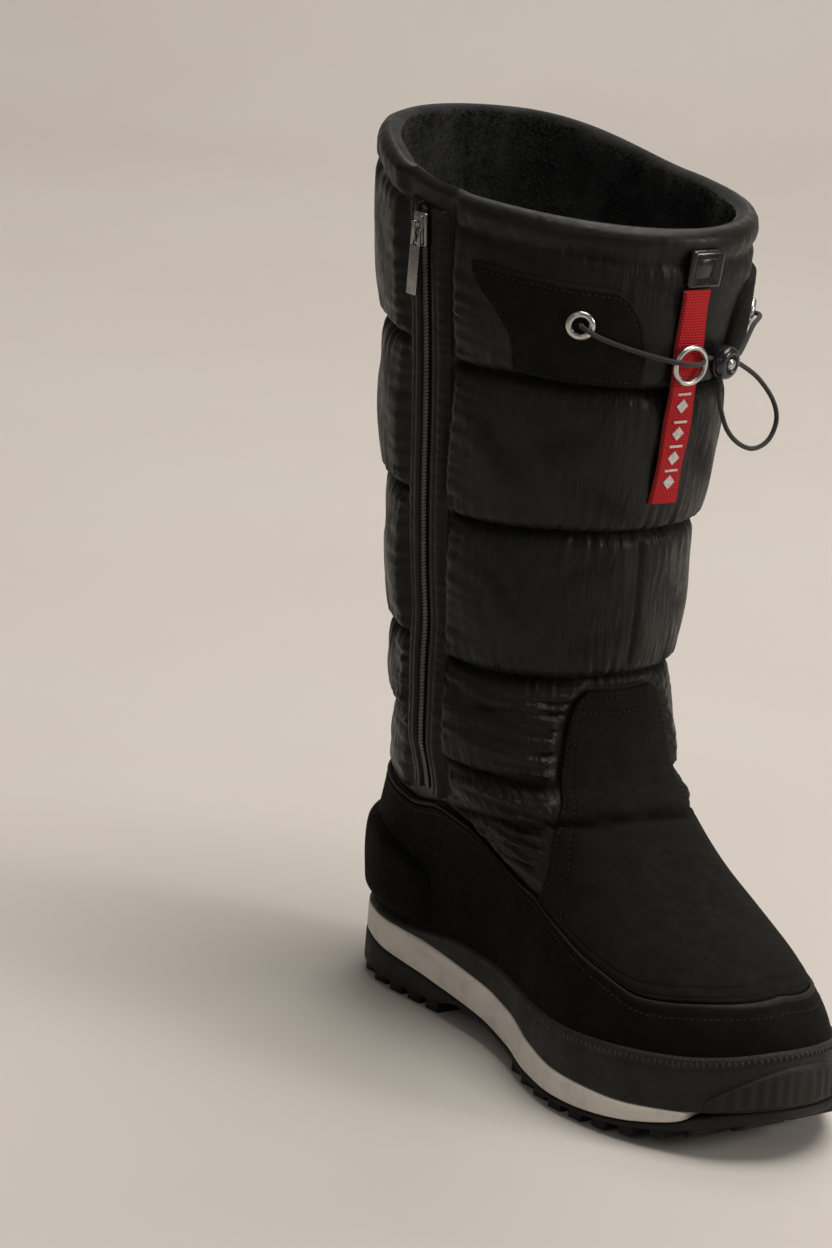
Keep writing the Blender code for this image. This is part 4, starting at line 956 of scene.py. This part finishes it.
def make_vamp():
    bottom = float(guard_level(0.0))

    def spot(u, v):
        side = 2 * u - 1
        level = bottom + (VAMP_TOP - bottom) * v
        for _ in range(6):
            turn = read(VAMP_SIDE, level)
            low = guard_level(turn * side) + 0.004
            level = low + (VAMP_TOP - low) * v
        return turn * side, level

    def place(u, v):
        angle, level = spot(u, v)
        rise = edge_rise(u, v, *VAMP_SIZE, 0.0016)
        hem = hem_distance(u, v, *VAMP_SIZE)
        groove = bell(hem - VAMP_HEMS[0], 0.0005) + bell(hem - VAMP_HEMS[1], 0.0005)
        out = PANEL_GAP + PANEL * rise - 0.0032 * (1 - rise) - 0.00035 * groove
        # Painted shade in the creases and in the hem's stitch grooves.
        dark = np.maximum(fold_shade(angle, level, False), 0.6 * np.clip(groove, 0, 1))
        return skin(angle, level, out), angle * DEGREE, level * FOOT_RUN, dark

    obj = grid_piece("vamp_panel_cloth", 110, 120, place, 0.0011, 0.6)
    settle(obj, SOFTSHELL, ("vamp_panel",))
    for inset in VAMP_HEMS:
        left, right, _, top = hem_lines(*VAMP_SIZE, inset, 80)
        for hem in (left, right, top):
            stitch_line(*spot(*hem), PANEL_GAP + PANEL - 0.0002)


def make_guard():
    def place(u, v):
        angle = all_round(u)
        low = rand_level(angle) - 0.02
        level = low + (guard_level(angle) - low) * v
        from_top = (1 - v) * (guard_level(angle) - low) * FOOT_RUN
        rise = rounded(from_top / 0.0014)
        groove = 0.0003 * bell(from_top - 0.0032, 0.0005)
        out = PANEL_GAP + PANEL * rise - 0.0030 * (1 - rise) - groove
        return skin(angle, level, out), angle * DEGREE, level * FOOT_RUN

    obj = grid_piece("mudguard_cloth", 288, 26, place, 0.0011)
    settle(obj, SUEDE, ("mudguard",))
    a = np.linspace(-179, 179, 361)
    stitch_line(a, guard_level(a) - 0.0040 / FOOT_RUN, PANEL_GAP + PANEL)

    def piping(u, v):
        angle = all_round(u)
        turn = 2 * np.pi * v
        level = guard_level(angle) - 0.0004 / FOOT_RUN + 0.0009 * np.sin(turn) / FOOT_RUN
        return skin(angle, level, PANEL_GAP + 0.0007 + 0.0009 * np.cos(turn)), angle * DEGREE, v

    settle(grid_piece("mudguard_piping", 288, 8, piping), PIPING)


def make_counter():
    def spot(u, v):
        angle = wrap(180 + COUNTER_TURN * (1 - 2 * u))
        low = rand_level(angle) + 0.02
        return angle, low + (COUNTER_TOP - low) * v * (1 - 0.35 * (2 * u - 1) ** 4)

    def place(u, v):
        angle, level = spot(u, v)
        rise = edge_rise(u, v, *COUNTER_SIZE, 0.0050)
        out = PANEL_GAP + PANEL + 0.0034 * rise - 0.0016 * (1 - rise)
        return skin(angle, level, out), angle * DEGREE, level * FOOT_RUN

    obj = grid_piece("heel_counter_cloth", 72, 28, place, 0.0012, 0.6)
    settle(obj, SUEDE, ("heel_counter",))


def make_rand():
    """The rubber rand with its stitched upper edge and raised toe."""

    def place(u, v):
        angle = all_round(u)
        top = rand_level(angle)
        level = top * v
        from_top = (1 - v) * top * FOOT_RUN
        rise = rounded(from_top / 0.0020)
        bead = 0.0005 * bell(from_top - 0.0022, 0.0011)
        groove = 0.0004 * bell(from_top - 0.0046, 0.0006)
        out = 0.0006 + (RAND_WALL - 0.0006) * rise + bead * rise - groove
        return off_base(angle, level, out), angle * SOLE_DEGREE, level * FOOT_RUN

    obj = grid_piece("rand_rubber", 288, 22, place, 0.0018)
    settle(obj, RUBBER, ("rand",))

    def bumper(u, v):
        side = 2 * u - 1
        angle = BUMPER_TURN * side
        top = rand_level(0.0) * BUMPER_SHARE * (1 - side**2 * 0.75)
        level = 0.01 + (top - 0.01) * v
        rise = edge_rise(u, v, *BUMPER_SIZE, 0.0024)
        rib = 0.0003 * np.cos(u * 2 * np.pi * 15) * step(0.0, 0.2, v) * step(1.0, 0.7, v)
        out = RAND_WALL - 0.0012 + 0.0032 * rise + rib * rise
        return off_base(angle, level, out), u * BUMPER_SIZE[0], v * BUMPER_SIZE[1]

    obj = grid_piece("toe_bumper_rubber", 120, 24, bumper, 0.0015, 0.5)
    settle(obj, RUBBER)

    a = np.linspace(-84, 84, 200)
    points, normals = spaced(a, rand_level(a) - 0.0030 / FOOT_RUN, RAND_WALL + 0.0004, 0.0025)
    dashes = frames_along(points, normals, (0.0006, 0.0011, 0.0004))
    settle(copies(add_bead, "rand_dashes", dashes), DASH)


def sole_piece(name, rows, closed, reach, material, node):
    """A band round the sole. Each row: the line it follows, its lift over it and how far out it stands."""
    steps = len(rows) if closed else len(rows) - 1

    def place(u, v):
        angle = all_round(u)
        k = np.rint(v * steps).astype(int) % len(rows)
        y = base(angle, 0.0)[..., 1]
        points = np.zeros((len(u), 3))
        for n, (line, lift, out) in enumerate(rows):
            p = reach(angle, y, out)
            if line == "mid":
                p[..., 2] = (sole_height("band_low", y) + sole_height("root", y)) / 2 + lift
            else:
                p[..., 2] = sole_height(line, y) + lift
            points = np.where((k == n)[..., None], p, points)
        return points, angle * SOLE_DEGREE, points[..., 2]

    settle(grid_piece(name, 288, steps, place), material, (node,))


def make_midsole():
    """The pale band, which sinks under the rand before the toe."""
    rows = [
        ("band_low", 0.0, -0.010), ("band_low", 0.0, -0.0012), ("band_low", 0.0006, 0.0),
        ("band_low", 0.0020, 0.0003), ("band_high", -0.0016, 0.0003), ("band_high", -0.0005, 0.0),
        ("band_high", 0.0, -0.0010), ("band_high", 0.0, -0.010),
    ]

    def reach(angle, y, out):
        along = (HEEL_REACH - y) / SOLE_LENGTH
        sink = 0.006 * step(BAND_END - 0.012, BAND_END + 0.004, along)
        return sole_point(angle, RAND_WALL + 0.0004 + out - sink)

    sole_piece("midsole_foam", rows, True, reach, FOAM, "midsole")


def make_outsole():
    """The outsole's body, closed to the middle underneath."""
    rows = [
        ("band_low", 0.0, -0.012), ("band_low", -GAP, -0.0008), ("band_low", -0.0010, 0.0),
        ("mid", 0.0, 0.0), ("root", 0.0012, 0.0), ("root", 0.0, -0.0012),
        ("root", 0.0, -0.012), ("root", 0.0, -0.028), ("root", 0.0, -9.0),
    ]

    def reach(angle, y, out):
        middle = np.stack([centre_line(y), y, 0 * y], -1)
        if out < -1:
            return middle
        edge = sole_point(angle, RAND_WALL + 0.0008 + out)
        share = -out / 0.045
        return edge * (1 - share) + middle * share if out < -0.002 else edge

    sole_piece("outsole_body", rows, False, reach, TREAD, "outsole")


def make_lugs():
    """Rows of blocks under the heel and the forefoot, their undersides along the tread's line."""
    blocks = []
    y = HEEL_REACH - LUG_SPACE
    while y > -TOE_REACH + LUG_SPACE + LUG_LENGTH:
        along = (HEEL_REACH - y) / SOLE_LENGTH
        middle = y - LUG_LENGTH / 2
        medial = float(centre_line(y) - plan_half_width("medial", middle)) - LUG_REACH
        lateral = float(centre_line(y) + plan_half_width("lateral", middle)) + LUG_REACH
        count = 3 if lateral - medial > LUG_ROW_WIDE else 2
        width = (lateral - medial - LUG_SPACE * (count - 1)) / count
        if not ARCH_FROM < along < ARCH_TO and width >= LUG_LEAST:
            tilt = float(sole_height("tread", y - LUG_LENGTH) - sole_height("tread", y)) / -LUG_LENGTH
            low = max(float(sole_height("tread", middle)), LUG_LENGTH / 2 * abs(tilt))
            high = float(sole_height("root", middle)) + LUG_EMBED
            form = Matrix(((width, 0, 0), (0, LUG_LENGTH, 0), (0, LUG_LENGTH * tilt, high - low))).to_4x4()
            for k in range(count):
                left = medial + k * (width + LUG_SPACE)
                at = Matrix.Translation((left + width / 2, middle, (low + high) / 2))
                blocks.append(at @ form)
        y -= LUG_PITCH
    settle(copies(add_cube, "tread_lugs", blocks, lambda obj: bevel(obj, 0.045, 2)), TREAD)


def strip(name, low, high, left, right, columns, rows, profile, wall, material, slot, nodes):
    """A strip along the zip's line. profile gives its height from its share across."""

    def place(u, v):
        level = low + (high - low) * v
        angle = zip_angle(level)
        side = left + (right - left) * u
        angle = wrap(angle + round_turn(angle, level, side))
        ends = rounded(np.minimum(v, 1 - v) * ZIP_RUN / 0.0015)
        out = profile(u, v) * ends
        return skin(angle, level, out), side, v * ZIP_RUN

    settle(grid_piece(name, columns, rows, place, wall), material, nodes)


def make_zip():
    half = TAPE_WIDTH / 2

    def flat(u, v):
        return PANEL_GAP + TAPE_THICKNESS + 0 * (u + v)

    tape = ("zip_tape_cloth", ZIP_BOTTOM, ZIP_TOP, -half, half, 6, 120)
    strip(*tape, flat, 0.0012, TAPE, "tape", ("zip_tape",))
    for name, sign in (("placket_front", 1), ("placket_back", -1)):
        near, far = sign * (half - 0.0006), sign * (half + GAP + PLACKET_WIDTH + 0.0016)

        def profile(u, v, sign=sign):
            t = u if sign > 0 else 1 - u
            lip = rounded(t / 0.12)
            fade = 1 - step(0.55, 1.0, t)
            seam = 0.0005 * bell(t - 0.34, 0.05)
            rib = 0.00022 * np.sin(v * 2 * np.pi * 62 + 3 * np.sin(v * 40)) * step(0.34, 0.6, t) * fade
            return PANEL_GAP * fade - 0.0005 * (1 - fade) + 0.0021 * lip * fade - seam + rib

        left, right = (near, far) if sign > 0 else (far, near)
        size = (name + "_cloth", ZIP_BOTTOM - 0.02, ZIP_TOP, left, right, 18, 260)
        strip(*size, profile, 0.0009, NYLON, "nylon", (name,))
        levels = np.linspace(ZIP_BOTTOM, ZIP_TOP - 0.01, 60)
        a = zip_angle(levels)
        stitch_line(wrap(a + round_turn(a, levels, sign * (half + 0.0024))), levels, PANEL_GAP + 0.0016)
    teeth = []
    out = PANEL_GAP + TAPE_THICKNESS + TEETH_THICKNESS * 0.5
    levels = np.linspace(ZIP_BOTTOM + 0.004, ZIP_TOP - 0.006, 60)
    a = zip_angle(levels)
    for n, sign in enumerate((-1, 1)):
        points, normals = spaced(a, levels, out, 0.00145)
        along = unit(np.gradient(points, axis=0))
        side = unit(np.cross(normals, along))
        points = points + side * sign * 0.00062 + along * n * 0.00072
        teeth += frames_along(points, normals, (0.00095, 0.0021, TEETH_THICKNESS))
    settle(copies(add_cube, "zip_teeth_row", teeth), TEETH, ("zip_teeth",), smooth=False)


def block(name, size, centre, edge, segments=3):
    """A bevelled block."""
    obj = start(add_cube, name)
    edit(lambda: bpy.ops.transform.resize(value=size), lambda: bpy.ops.transform.translate(value=centre))
    bevel(obj, edge, segments)
    return obj


def fitted(obj, matrix):
    """A form put in place by a matrix."""
    move_points(obj, seated(coordinates(obj), matrix))
    edit(outwards)
    return obj


def box(name, size, centre, matrix, edge):
    return fitted(block(name, size, centre, edge), matrix)


def torus(name, major, minor, matrix):
    def add():
        sizes = {"major_radius": major, "minor_radius": minor, "major_segments": 48, "minor_segments": 14}
        bpy.ops.mesh.primitive_torus_add(**sizes)

    return fitted(start(add, name), matrix)


def turned(name, profile, matrix, steps=48):
    """A turned piece: a profile of (radius, height) spun round its own axis."""

    def place(u, v):
        r, h = np.array(profile)[np.rint(v * len(profile)).astype(int) % len(profile)].T
        t = 2 * np.pi * u
        return seated(np.stack([r * np.cos(t), r * np.sin(t), h], -1), matrix), u, v

    return grid_piece(name, steps, len(profile), place)


def join(name, *objs):
    bpy.ops.object.select_all(action="DESELECT")
    for o in objs:
        o.select_set(True)
    bpy.context.view_layer.objects.active = objs[0]
    bpy.ops.object.join()
    objs[0].name = name
    return objs[0]


def make_slider():
    angle = float(zip_angle(SLIDER_LEVEL))
    out = PANEL_GAP + TAPE_THICKNESS + GAP + TEETH_THICKNESS + GAP
    place = seat(angle, SLIDER_LEVEL, out)
    body = box("slider", (0.0080, 0.0136, 0.0022), (0, 0, 0.0011), place, 0.0008)
    crown = box("crown", (0.0052, 0.0116, 0.0012), (0, 0, 0.0024), place, 0.0005)
    bridge = box("bridge", (0.0016, 0.0078, 0.0010), (0, 0, 0.0049), place, 0.0004)
    posts = [box("post", (0.0016, 0.0011, 0.0032), (0, y, 0.0038), place, 0.0003) for y in (-0.0033, 0.0033)]
    settle(join("zip_slider_body", body, crown, bridge, *posts), DARK_METAL, ("zip_slider",))

    pivot = place @ Vector((0, 0, 0.0024 + 0.0010))
    across = upright(angle, SLIDER_LEVEL)[0]
    hang = stand(across, UP, across.cross(UP), pivot)
    bar = box("bar", (0.0060, 0.0012, 0.0012), (0, 0, 0), hang, 0.0004)
    sides = [box("side", (0.0016, 0.0068, 0.0012), (x, -0.0030, 0), hang, 0.0004) for x in (-0.0022, 0.0022)]
    grip = box("grip", (0.0062, 0.0200, 0.0012), (0, -0.0162, 0), hang, 0.0005)
    ridge = box("ridge", (0.0034, 0.0150, 0.0017), (0, -0.0165, 0), hang, 0.0005)
    settle(join("zip_pull_tag", grip, bar, ridge, *sides), DARK_METAL, ("zip_pull",), "pull")


# The eyelet's ring, by radius and height.
EYELET_PROFILE = [
    (0.0031, -0.0012), (0.0059, -0.0002), (0.0060, 0.0004), (0.0057, 0.0010), (0.0050, 0.0014),
    (0.0042, 0.0016), (0.0036, 0.0013), (0.0031, 0.0006),
]


def make_patches():
    for name, sign in (("inner", -1), ("outer", 1)):

        def spot(u, v, sign=sign):
            level = PATCH_EDGES[0].level + (PATCH_EDGES[-1].level - PATCH_EDGES[0].level) * v
            near = read(PATCH_EDGES, level, "level", "near")
            far = read(PATCH_EDGES, level, "level", "far")
            return sign * (near + (far - near) * u), level

        def place(u, v, sign=sign):
            angle, level = spot(u, v)
            rise = edge_rise(u, v, *PATCH_SIZE, 0.0016)
            hem = hem_distance(u, v, *PATCH_SIZE)
            groove = bell(hem - PATCH_HEM, 0.0006)
            out = PATCH_GAP + PANEL * rise - 0.0022 * (1 - rise) - 0.0003 * groove
            return skin(angle, level, out), angle * PATCH_DEGREE, level * SHAFT_RUN

        obj = grid_piece("eyelet_patch_cloth_" + name, 64, 50, place, 0.0010, 0.6)
        settle(obj, PATCH, ("eyelet_patch_" + name,))
        for hem in hem_lines(*PATCH_SIZE, PATCH_HEM, 60):
            stitch_line(*spot(*hem), PATCH_GAP + PANEL)
        place_eye = seat(sign * EYELET_ANGLE, EYELET_LEVEL, PATCH_GAP + PANEL)
        ring = turned("eyelet_ring_" + name, EYELET_PROFILE, place_eye)
        settle(ring, NICKEL, ("eyelet_" + name,))


# The hanging strap's height over the skin, by level: the quilting's highest near it, smoothed.
STRAP_LEVELS = np.linspace(STRAP_BOTTOM - 0.06, STRAP_TOP + 0.06, 241)
STRAP_OUT = quilting(np.zeros(241), STRAP_LEVELS)
STRAP_OUT = np.array([STRAP_OUT[max(0, k - 26) : k + 27].max() for k in range(241)])
STRAP_OUT = np.convolve(np.pad(STRAP_OUT, 20, mode="edge"), np.ones(41) / 41, "valid")


def strap_seat(level, side, out):
    """Points over the hanging strap's line, which bridges the quilting's valleys."""
    angle = round_turn(0.0, level, 1.0) * side - STRAP_LEAN * step(STRAP_BOTTOM, STRAP_TOP, level)
    lift = np.interp(level, STRAP_LEVELS, STRAP_OUT)
    return off_base(angle, level, lift + out)


# The strap's marks: their levels, then the turn, shift up and size of a diamond and of the bar above it.
MARK_LEVELS = (1.717, 1.668, 1.623, 1.577)
MARKS = ((45, -0.0006, (0.0042, 0.0042)), (0, 0.0044, (0.0066, 0.0009)))


def make_strap():
    """The red strap with its marks: four diamonds, each with a bar above it."""

    def place(u, v):
        level = STRAP_BOTTOM + (STRAP_TOP - STRAP_BOTTOM) * v
        side = STRAP_SIZE[0] * (u - 0.5)
        rise = edge_rise(u, v, *STRAP_SIZE, 0.0005)
        curl = 0.0005 * np.cos(v * 17) * (2 * u - 1)
        points = strap_seat(level, side, PANEL_GAP + 0.0004 + 0.0009 * rise + curl)
        return points, side, v * STRAP_SIZE[1]

    obj = grid_piece("hanging_strap", 16, 150, place, 0.0010)
    settle(obj, WEBBING, ("strap",))
    marks = []
    for level in MARK_LEVELS:
        m = stand(*upright(0.0, level), strap_seat(level, 0.0, PANEL_GAP + 0.0014))
        for turn, shift, size in MARKS:
            m2 = m @ Matrix.Translation((0, shift, 0)) @ Matrix.Rotation(math.radians(turn), 4, "Z")
            marks.append(m2 @ Matrix.Diagonal((*size, 0.0005, 1.0)))
    settle(copies(add_cube, "strap_marks", marks), WHITE, smooth=False)
    ring = torus("strap_ring_wire", 0.0073, 0.0012, seat(-STRAP_LEAN, RING_LEVEL, 0.0050))
    settle(ring, NICKEL, ("strap_ring",))


def make_tab():
    """The tab that the strap hangs from: a rounded block with a sunk face."""
    form = block("tab", (0.0168, 0.0156, 0.0034), (0, 0, 0.0022), 0.0016, 4)
    bpy.ops.object.mode_set(mode="EDIT")
    bpy.ops.mesh.select_all(action="DESELECT")
    bpy.ops.object.mode_set(mode="OBJECT")
    top = max(form.data.polygons, key=lambda f: f.area * (f.normal.z > 0.9))
    top.select = True
    bpy.ops.object.mode_set(mode="EDIT")
    bpy.ops.mesh.select_mode(type="FACE")
    for inset, lift in ((0.0022, -0.0018), (0.0004, 0.0004)):
        bpy.ops.mesh.inset(thickness=inset)
        bpy.ops.transform.translate(value=(0, 0, lift))
    bpy.ops.object.mode_set(mode="OBJECT")
    settle(fitted(form, seat(0.0, TAB_LEVEL)), PLASTIC, ("loop_tab",))


def path_through(points, count):
    """Points of a smooth curve through a few, at equal steps of their polyline."""
    knots = [Vector(p) for p in points]
    lengths = [0.0]
    for a, b in zip(knots, knots[1:]):
        lengths.append(lengths[-1] + (b - a).length)
    out = []
    for n in range(count + 1):
        d = lengths[-1] * n / count
        i = max(0, min(len(knots) - 2, int(np.searchsorted(lengths, d, side="right")) - 1))
        before, after = knots[max(0, i - 1)], knots[min(len(knots) - 1, i + 2)]
        t = (d - lengths[i]) / (lengths[i + 1] - lengths[i])
        p, q = knots[i], knots[i + 1]
        lead, leave = (q - before) / 2, (after - p) / 2
        begin, end = p * (1 + 2 * t) * (1 - t) ** 2 + lead * t * (1 - t) ** 2, q * t * t * (3 - 2 * t)
        out.append(begin + end + leave * t * t * (t - 1))
    return out


def cord_curve(name, points):
    """A round cord: an added curve, taken through the points and given depth."""
    obj = start(bpy.ops.curve.primitive_bezier_curve_add, name)
    data = obj.data
    data.splines.clear()
    data.dimensions = "3D"
    spline = data.splines.new("POLY")
    spline.points.add(len(points) - 1)
    for k, p in enumerate(points):
        spline.points[k].co = (*p, 1.0)
    data.bevel_depth = CORD_RADIUS
    data.bevel_resolution = 3
    data.use_fill_caps = True
    return obj


# The lock's turned side and face, as shares of its radius and thickness.
LOCK_FACE = [
    (0.84, 0.0), (0.96, 0.07), (1.0, 0.18), (1.0, 0.40), (0.95, 0.44), (0.95, 0.50), (1.0, 0.54),
    (1.0, 0.72), (0.95, 0.86), (0.86, 0.95), (0.74, 1.0), (0.62, 1.0), (0.56, 0.96), (0.52, 0.82),
    (0.44, 0.80), (0.40, 0.90), (0.30, 0.96),
]

# The cord's loop, across, up and out from the middle of the lock's face.
LOOP_ROUTE = [
    (0.0079, -0.0010, 0.0000), (0.0130, -0.0030, 0.0005), (0.0220, -0.0085, 0.0030),
    (0.0300, -0.0170, 0.0060), (0.0330, -0.0250, 0.0075), (0.0300, -0.0325, 0.0075),
    (0.0230, -0.0355, 0.0060), (0.0150, -0.0330, 0.0040), (0.0080, -0.0270, 0.0020),
    (0.0030, -0.0180, 0.0005), (0.0010, -0.0120, 0.0000), (0.0005, -0.0079, 0.0000),
]


def make_drawcord():
    place = seat(LOCK_ANGLE - LOCK_SHIFT, LOCK_LEVEL, PATCH_GAP + PANEL + GAP)
    r, h = LOCK_RADIUS, LOCK_THICKNESS
    body = [(0.0002, 0.0)] + [(x * r, y * h) for x, y in LOCK_FACE] + [(0.0002, 0.98 * h)]
    settle(turned("cord_lock_form", body, place), PLASTIC, ("cord_lock",))
    sides = [(x * r, y * h) for x, y in ((0.34, 0.90), (0.34, 1.02), (0.24, 1.10))]
    button = [(0.0001, 0.90 * h)] + sides + [(0.0001, 1.13 * h)]
    settle(turned("cord_lock_button", button, place, 32), NICKEL)
    mouth, mouth_height = r + GAP, h * 0.40
    depth = PATCH_GAP + PANEL + GAP + 0.0002
    cord_out = 0.0072
    for name, sign, height in (("cord_inner", -1, mouth_height * 0.4), ("cord_outer", 1, mouth_height)):
        eye = sign * EYELET_ANGLE
        begin = Vector(skin(eye, EYELET_LEVEL, depth - 0.0022))
        lift = Vector(skin(eye - sign * 1.2, EYELET_LEVEL, depth + 0.0032))
        end = place @ Vector((sign * (mouth - 0.0010), 0.0015, height))
        before = place @ Vector((sign * (mouth + 0.004), 0.00225, height * 0.95))
        middle = [(30.0, 1.833, 0.0050)]
        if sign < 0:
            middle = [(-31.0, 1.827, 0.0036), (-20.0, 1.810, 0.0036), (-8.0, 1.798, cord_out)]
            middle.append((0.0, 1.794, cord_out))
        middle = [Vector(skin(a, level, out)) for a, level, out in middle]
        obj = cord_curve(name + "_span", path_through([begin, lift, *middle, before, end], 60))
        settle(obj, CORD, (name,), smooth=False)
    bends = [(x * LOOP_WIDER, y * LOOP_TALLER, mouth_height + z) for x, y, z in LOOP_ROUTE]
    route = path_through([place @ Vector(bend) for bend in bends], 90)
    loop = cord_curve("drawcord_loop", route)
    settle(loop, CORD, ("cord_loop",), smooth=False)
    length = sum((b - a).length for a, b in zip(route, route[1:]))


def make_stitches():
    for k in (2, 3, 4):
        a = np.linspace(-66, 248, 500)
        stitch_line(a, read(SEAMS[k], wrap(a)), 0.0003, 0.0030, 0.0020)
    settle(copies(add_bead, "seam_stitches", STITCHES), THREAD)


def make_pile():
    """Short fibres of the lining round the collar's inside."""
    rng = np.random.default_rng(7)
    count = 12000
    angle = rng.uniform(-180, 180, count)
    level = 2.0 - rng.power(0.8, count) * 0.16
    n = normal(angle, level)
    points = base(angle, level) - n * (SHAFT_WALL - 0.0002 + rim_swell(level))[:, None]
    out = []
    for p, d, r in zip(points, n, rng.uniform(0, 1, (count, 4))):
        lean = Vector((r[1] - 0.5, r[2] - 0.5, 0)) * 0.9
        aim = (-Vector(d) + Vector((0, 0, 0.9 * r[0] - 0.1)) + lean).normalized()
        turn = aim.to_track_quat("Z", "X").to_matrix().to_4x4()
        long = 0.0014 + 0.0018 * r[3]
        turn.translation = Vector(p) + aim * long * 0.45
        out.append(turn @ Matrix.Diagonal((0.00022, 0.00022, long, 1.0)))

    def add():
        sizes = {"vertices": 3, "radius1": 1.0, "radius2": 0.0, "depth": 1.0}
        bpy.ops.mesh.primitive_cone_add(**sizes, end_fill_type="NOTHING")

    settle(copies(add, "lining_pile", out), LINING)


make_shell()
make_vamp()
make_guard()
make_counter()
make_rand()
make_midsole()
make_outsole()
make_lugs()
make_zip()
make_slider()
make_patches()
make_strap()
make_tab()
make_drawcord()
make_stitches()
make_pile()

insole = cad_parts["insole"]
insole.data.materials.clear()
insole.data.materials.append(FELT)


# Floor, backdrop, lights and camera.
AZIMUTH, ELEVATION, ROLL, DISTANCE = -39.24, 14.88, 4.94, 2.02293
TARGET = Vector((0.00240, 0.05649, 0.14250))
LENS, SENSOR_WIDTH, SIGHT = 136.6, 36.0, 20.0


def make_stage():
    """A floor that sweeps up into a backdrop behind the boot."""
    a = math.radians(AZIMUTH)
    across, away = Vector((math.cos(a), math.sin(a), 0)), Vector((-math.sin(a), math.cos(a), 0))
    near, flat, bend, wall, height, wide = -3.0, 2.1, 0.7, 2.8, 4.0, 9.0
    turns = np.linspace(0.1, math.pi / 2, 12)
    profile = [(near, 0.0), (flat, 0.0)]
    profile += [(flat + bend * math.sin(t), bend - bend * math.cos(t)) for t in turns]
    profile += [(wall, height)]
    sweep = start(lambda: add_grid(2, len(profile) - 1), "floor_sweep")
    shares = coordinates(sweep)
    far, tall = np.array(profile)[np.rint((shares[:, 1] + 0.5) * (len(profile) - 1)).astype(int)].T
    points = np.outer(shares[:, 0] * wide, across) + np.outer(far, away)
    points[:, 2] = tall
    move_points(sweep, points)
    edit(outwards)
    s = Shop("warm paper", (0.60, 0.56, 0.52), 0.85, specular_ior_level=0.15)
    cloud = s.range(s.noise(3.0, 3.0), 0.3, 0.7)
    s.set("Base Color", s.mix(cloud, (0.60, 0.555, 0.510), (0.62, 0.58, 0.535)))
    sweep.data.materials.append(s.material)
    bpy.ops.object.shade_smooth()


make_stage()

world = bpy.data.worlds.new("room")
bpy.context.scene.world = world
world.use_nodes = True
background = world.node_tree.nodes["Background"].inputs
background["Color"].default_value = (1.0, 0.97, 0.94, 1.0)
background["Strength"].default_value = 0.17


def area_light(name, place, target, size, power, colour=(1.0, 0.97, 0.93)):
    bpy.ops.object.light_add(type="AREA", location=place)
    lamp = bpy.context.active_object
    lamp.name = name
    lamp.rotation_euler = (Vector(target) - Vector(place)).to_track_quat("-Z", "Y").to_euler()
    lamp.data.shape = "DISK"
    lamp.data.size = size
    lamp.data.energy = power
    lamp.data.color = colour


area_light("top_light", (0.3, -0.4, 2.3), (0.0, 0.1, 0.1), 1.6, 38.0)
area_light("left_light", (-2.0, -0.9, 1.3), (0.0, 0.0, 0.2), 0.6, 1.4)
area_light("right_light", (1.3, -1.9, 1.0), (0.0, -0.05, 0.15), 0.7, 17.0)
area_light("wall_light", (1.40, 1.20, 2.6), (1.85, 1.55, 0.0), 1.6, 28.0)


def make_camera():
    a, e, r = (math.radians(x) for x in (AZIMUTH, ELEVATION, ROLL))
    back = Vector((math.sin(a) * math.cos(e), -math.cos(a) * math.cos(e), math.sin(e)))
    right = Vector((math.cos(a), math.sin(a), 0))
    up = back.cross(right)
    turned_right = right * math.cos(r) + up * math.sin(r)
    turned_up = -right * math.sin(r) + up * math.cos(r)
    bpy.ops.object.camera_add()
    camera = bpy.context.active_object
    camera.matrix_world = stand(turned_right, turned_up, back, TARGET + back * DISTANCE)
    camera.data.lens = LENS
    camera.data.sensor_width = SENSOR_WIDTH
    camera.data.clip_end = SIGHT
    bpy.context.scene.camera = camera


make_camera()
bpy.context.scene.view_settings.view_transform = "Standard"
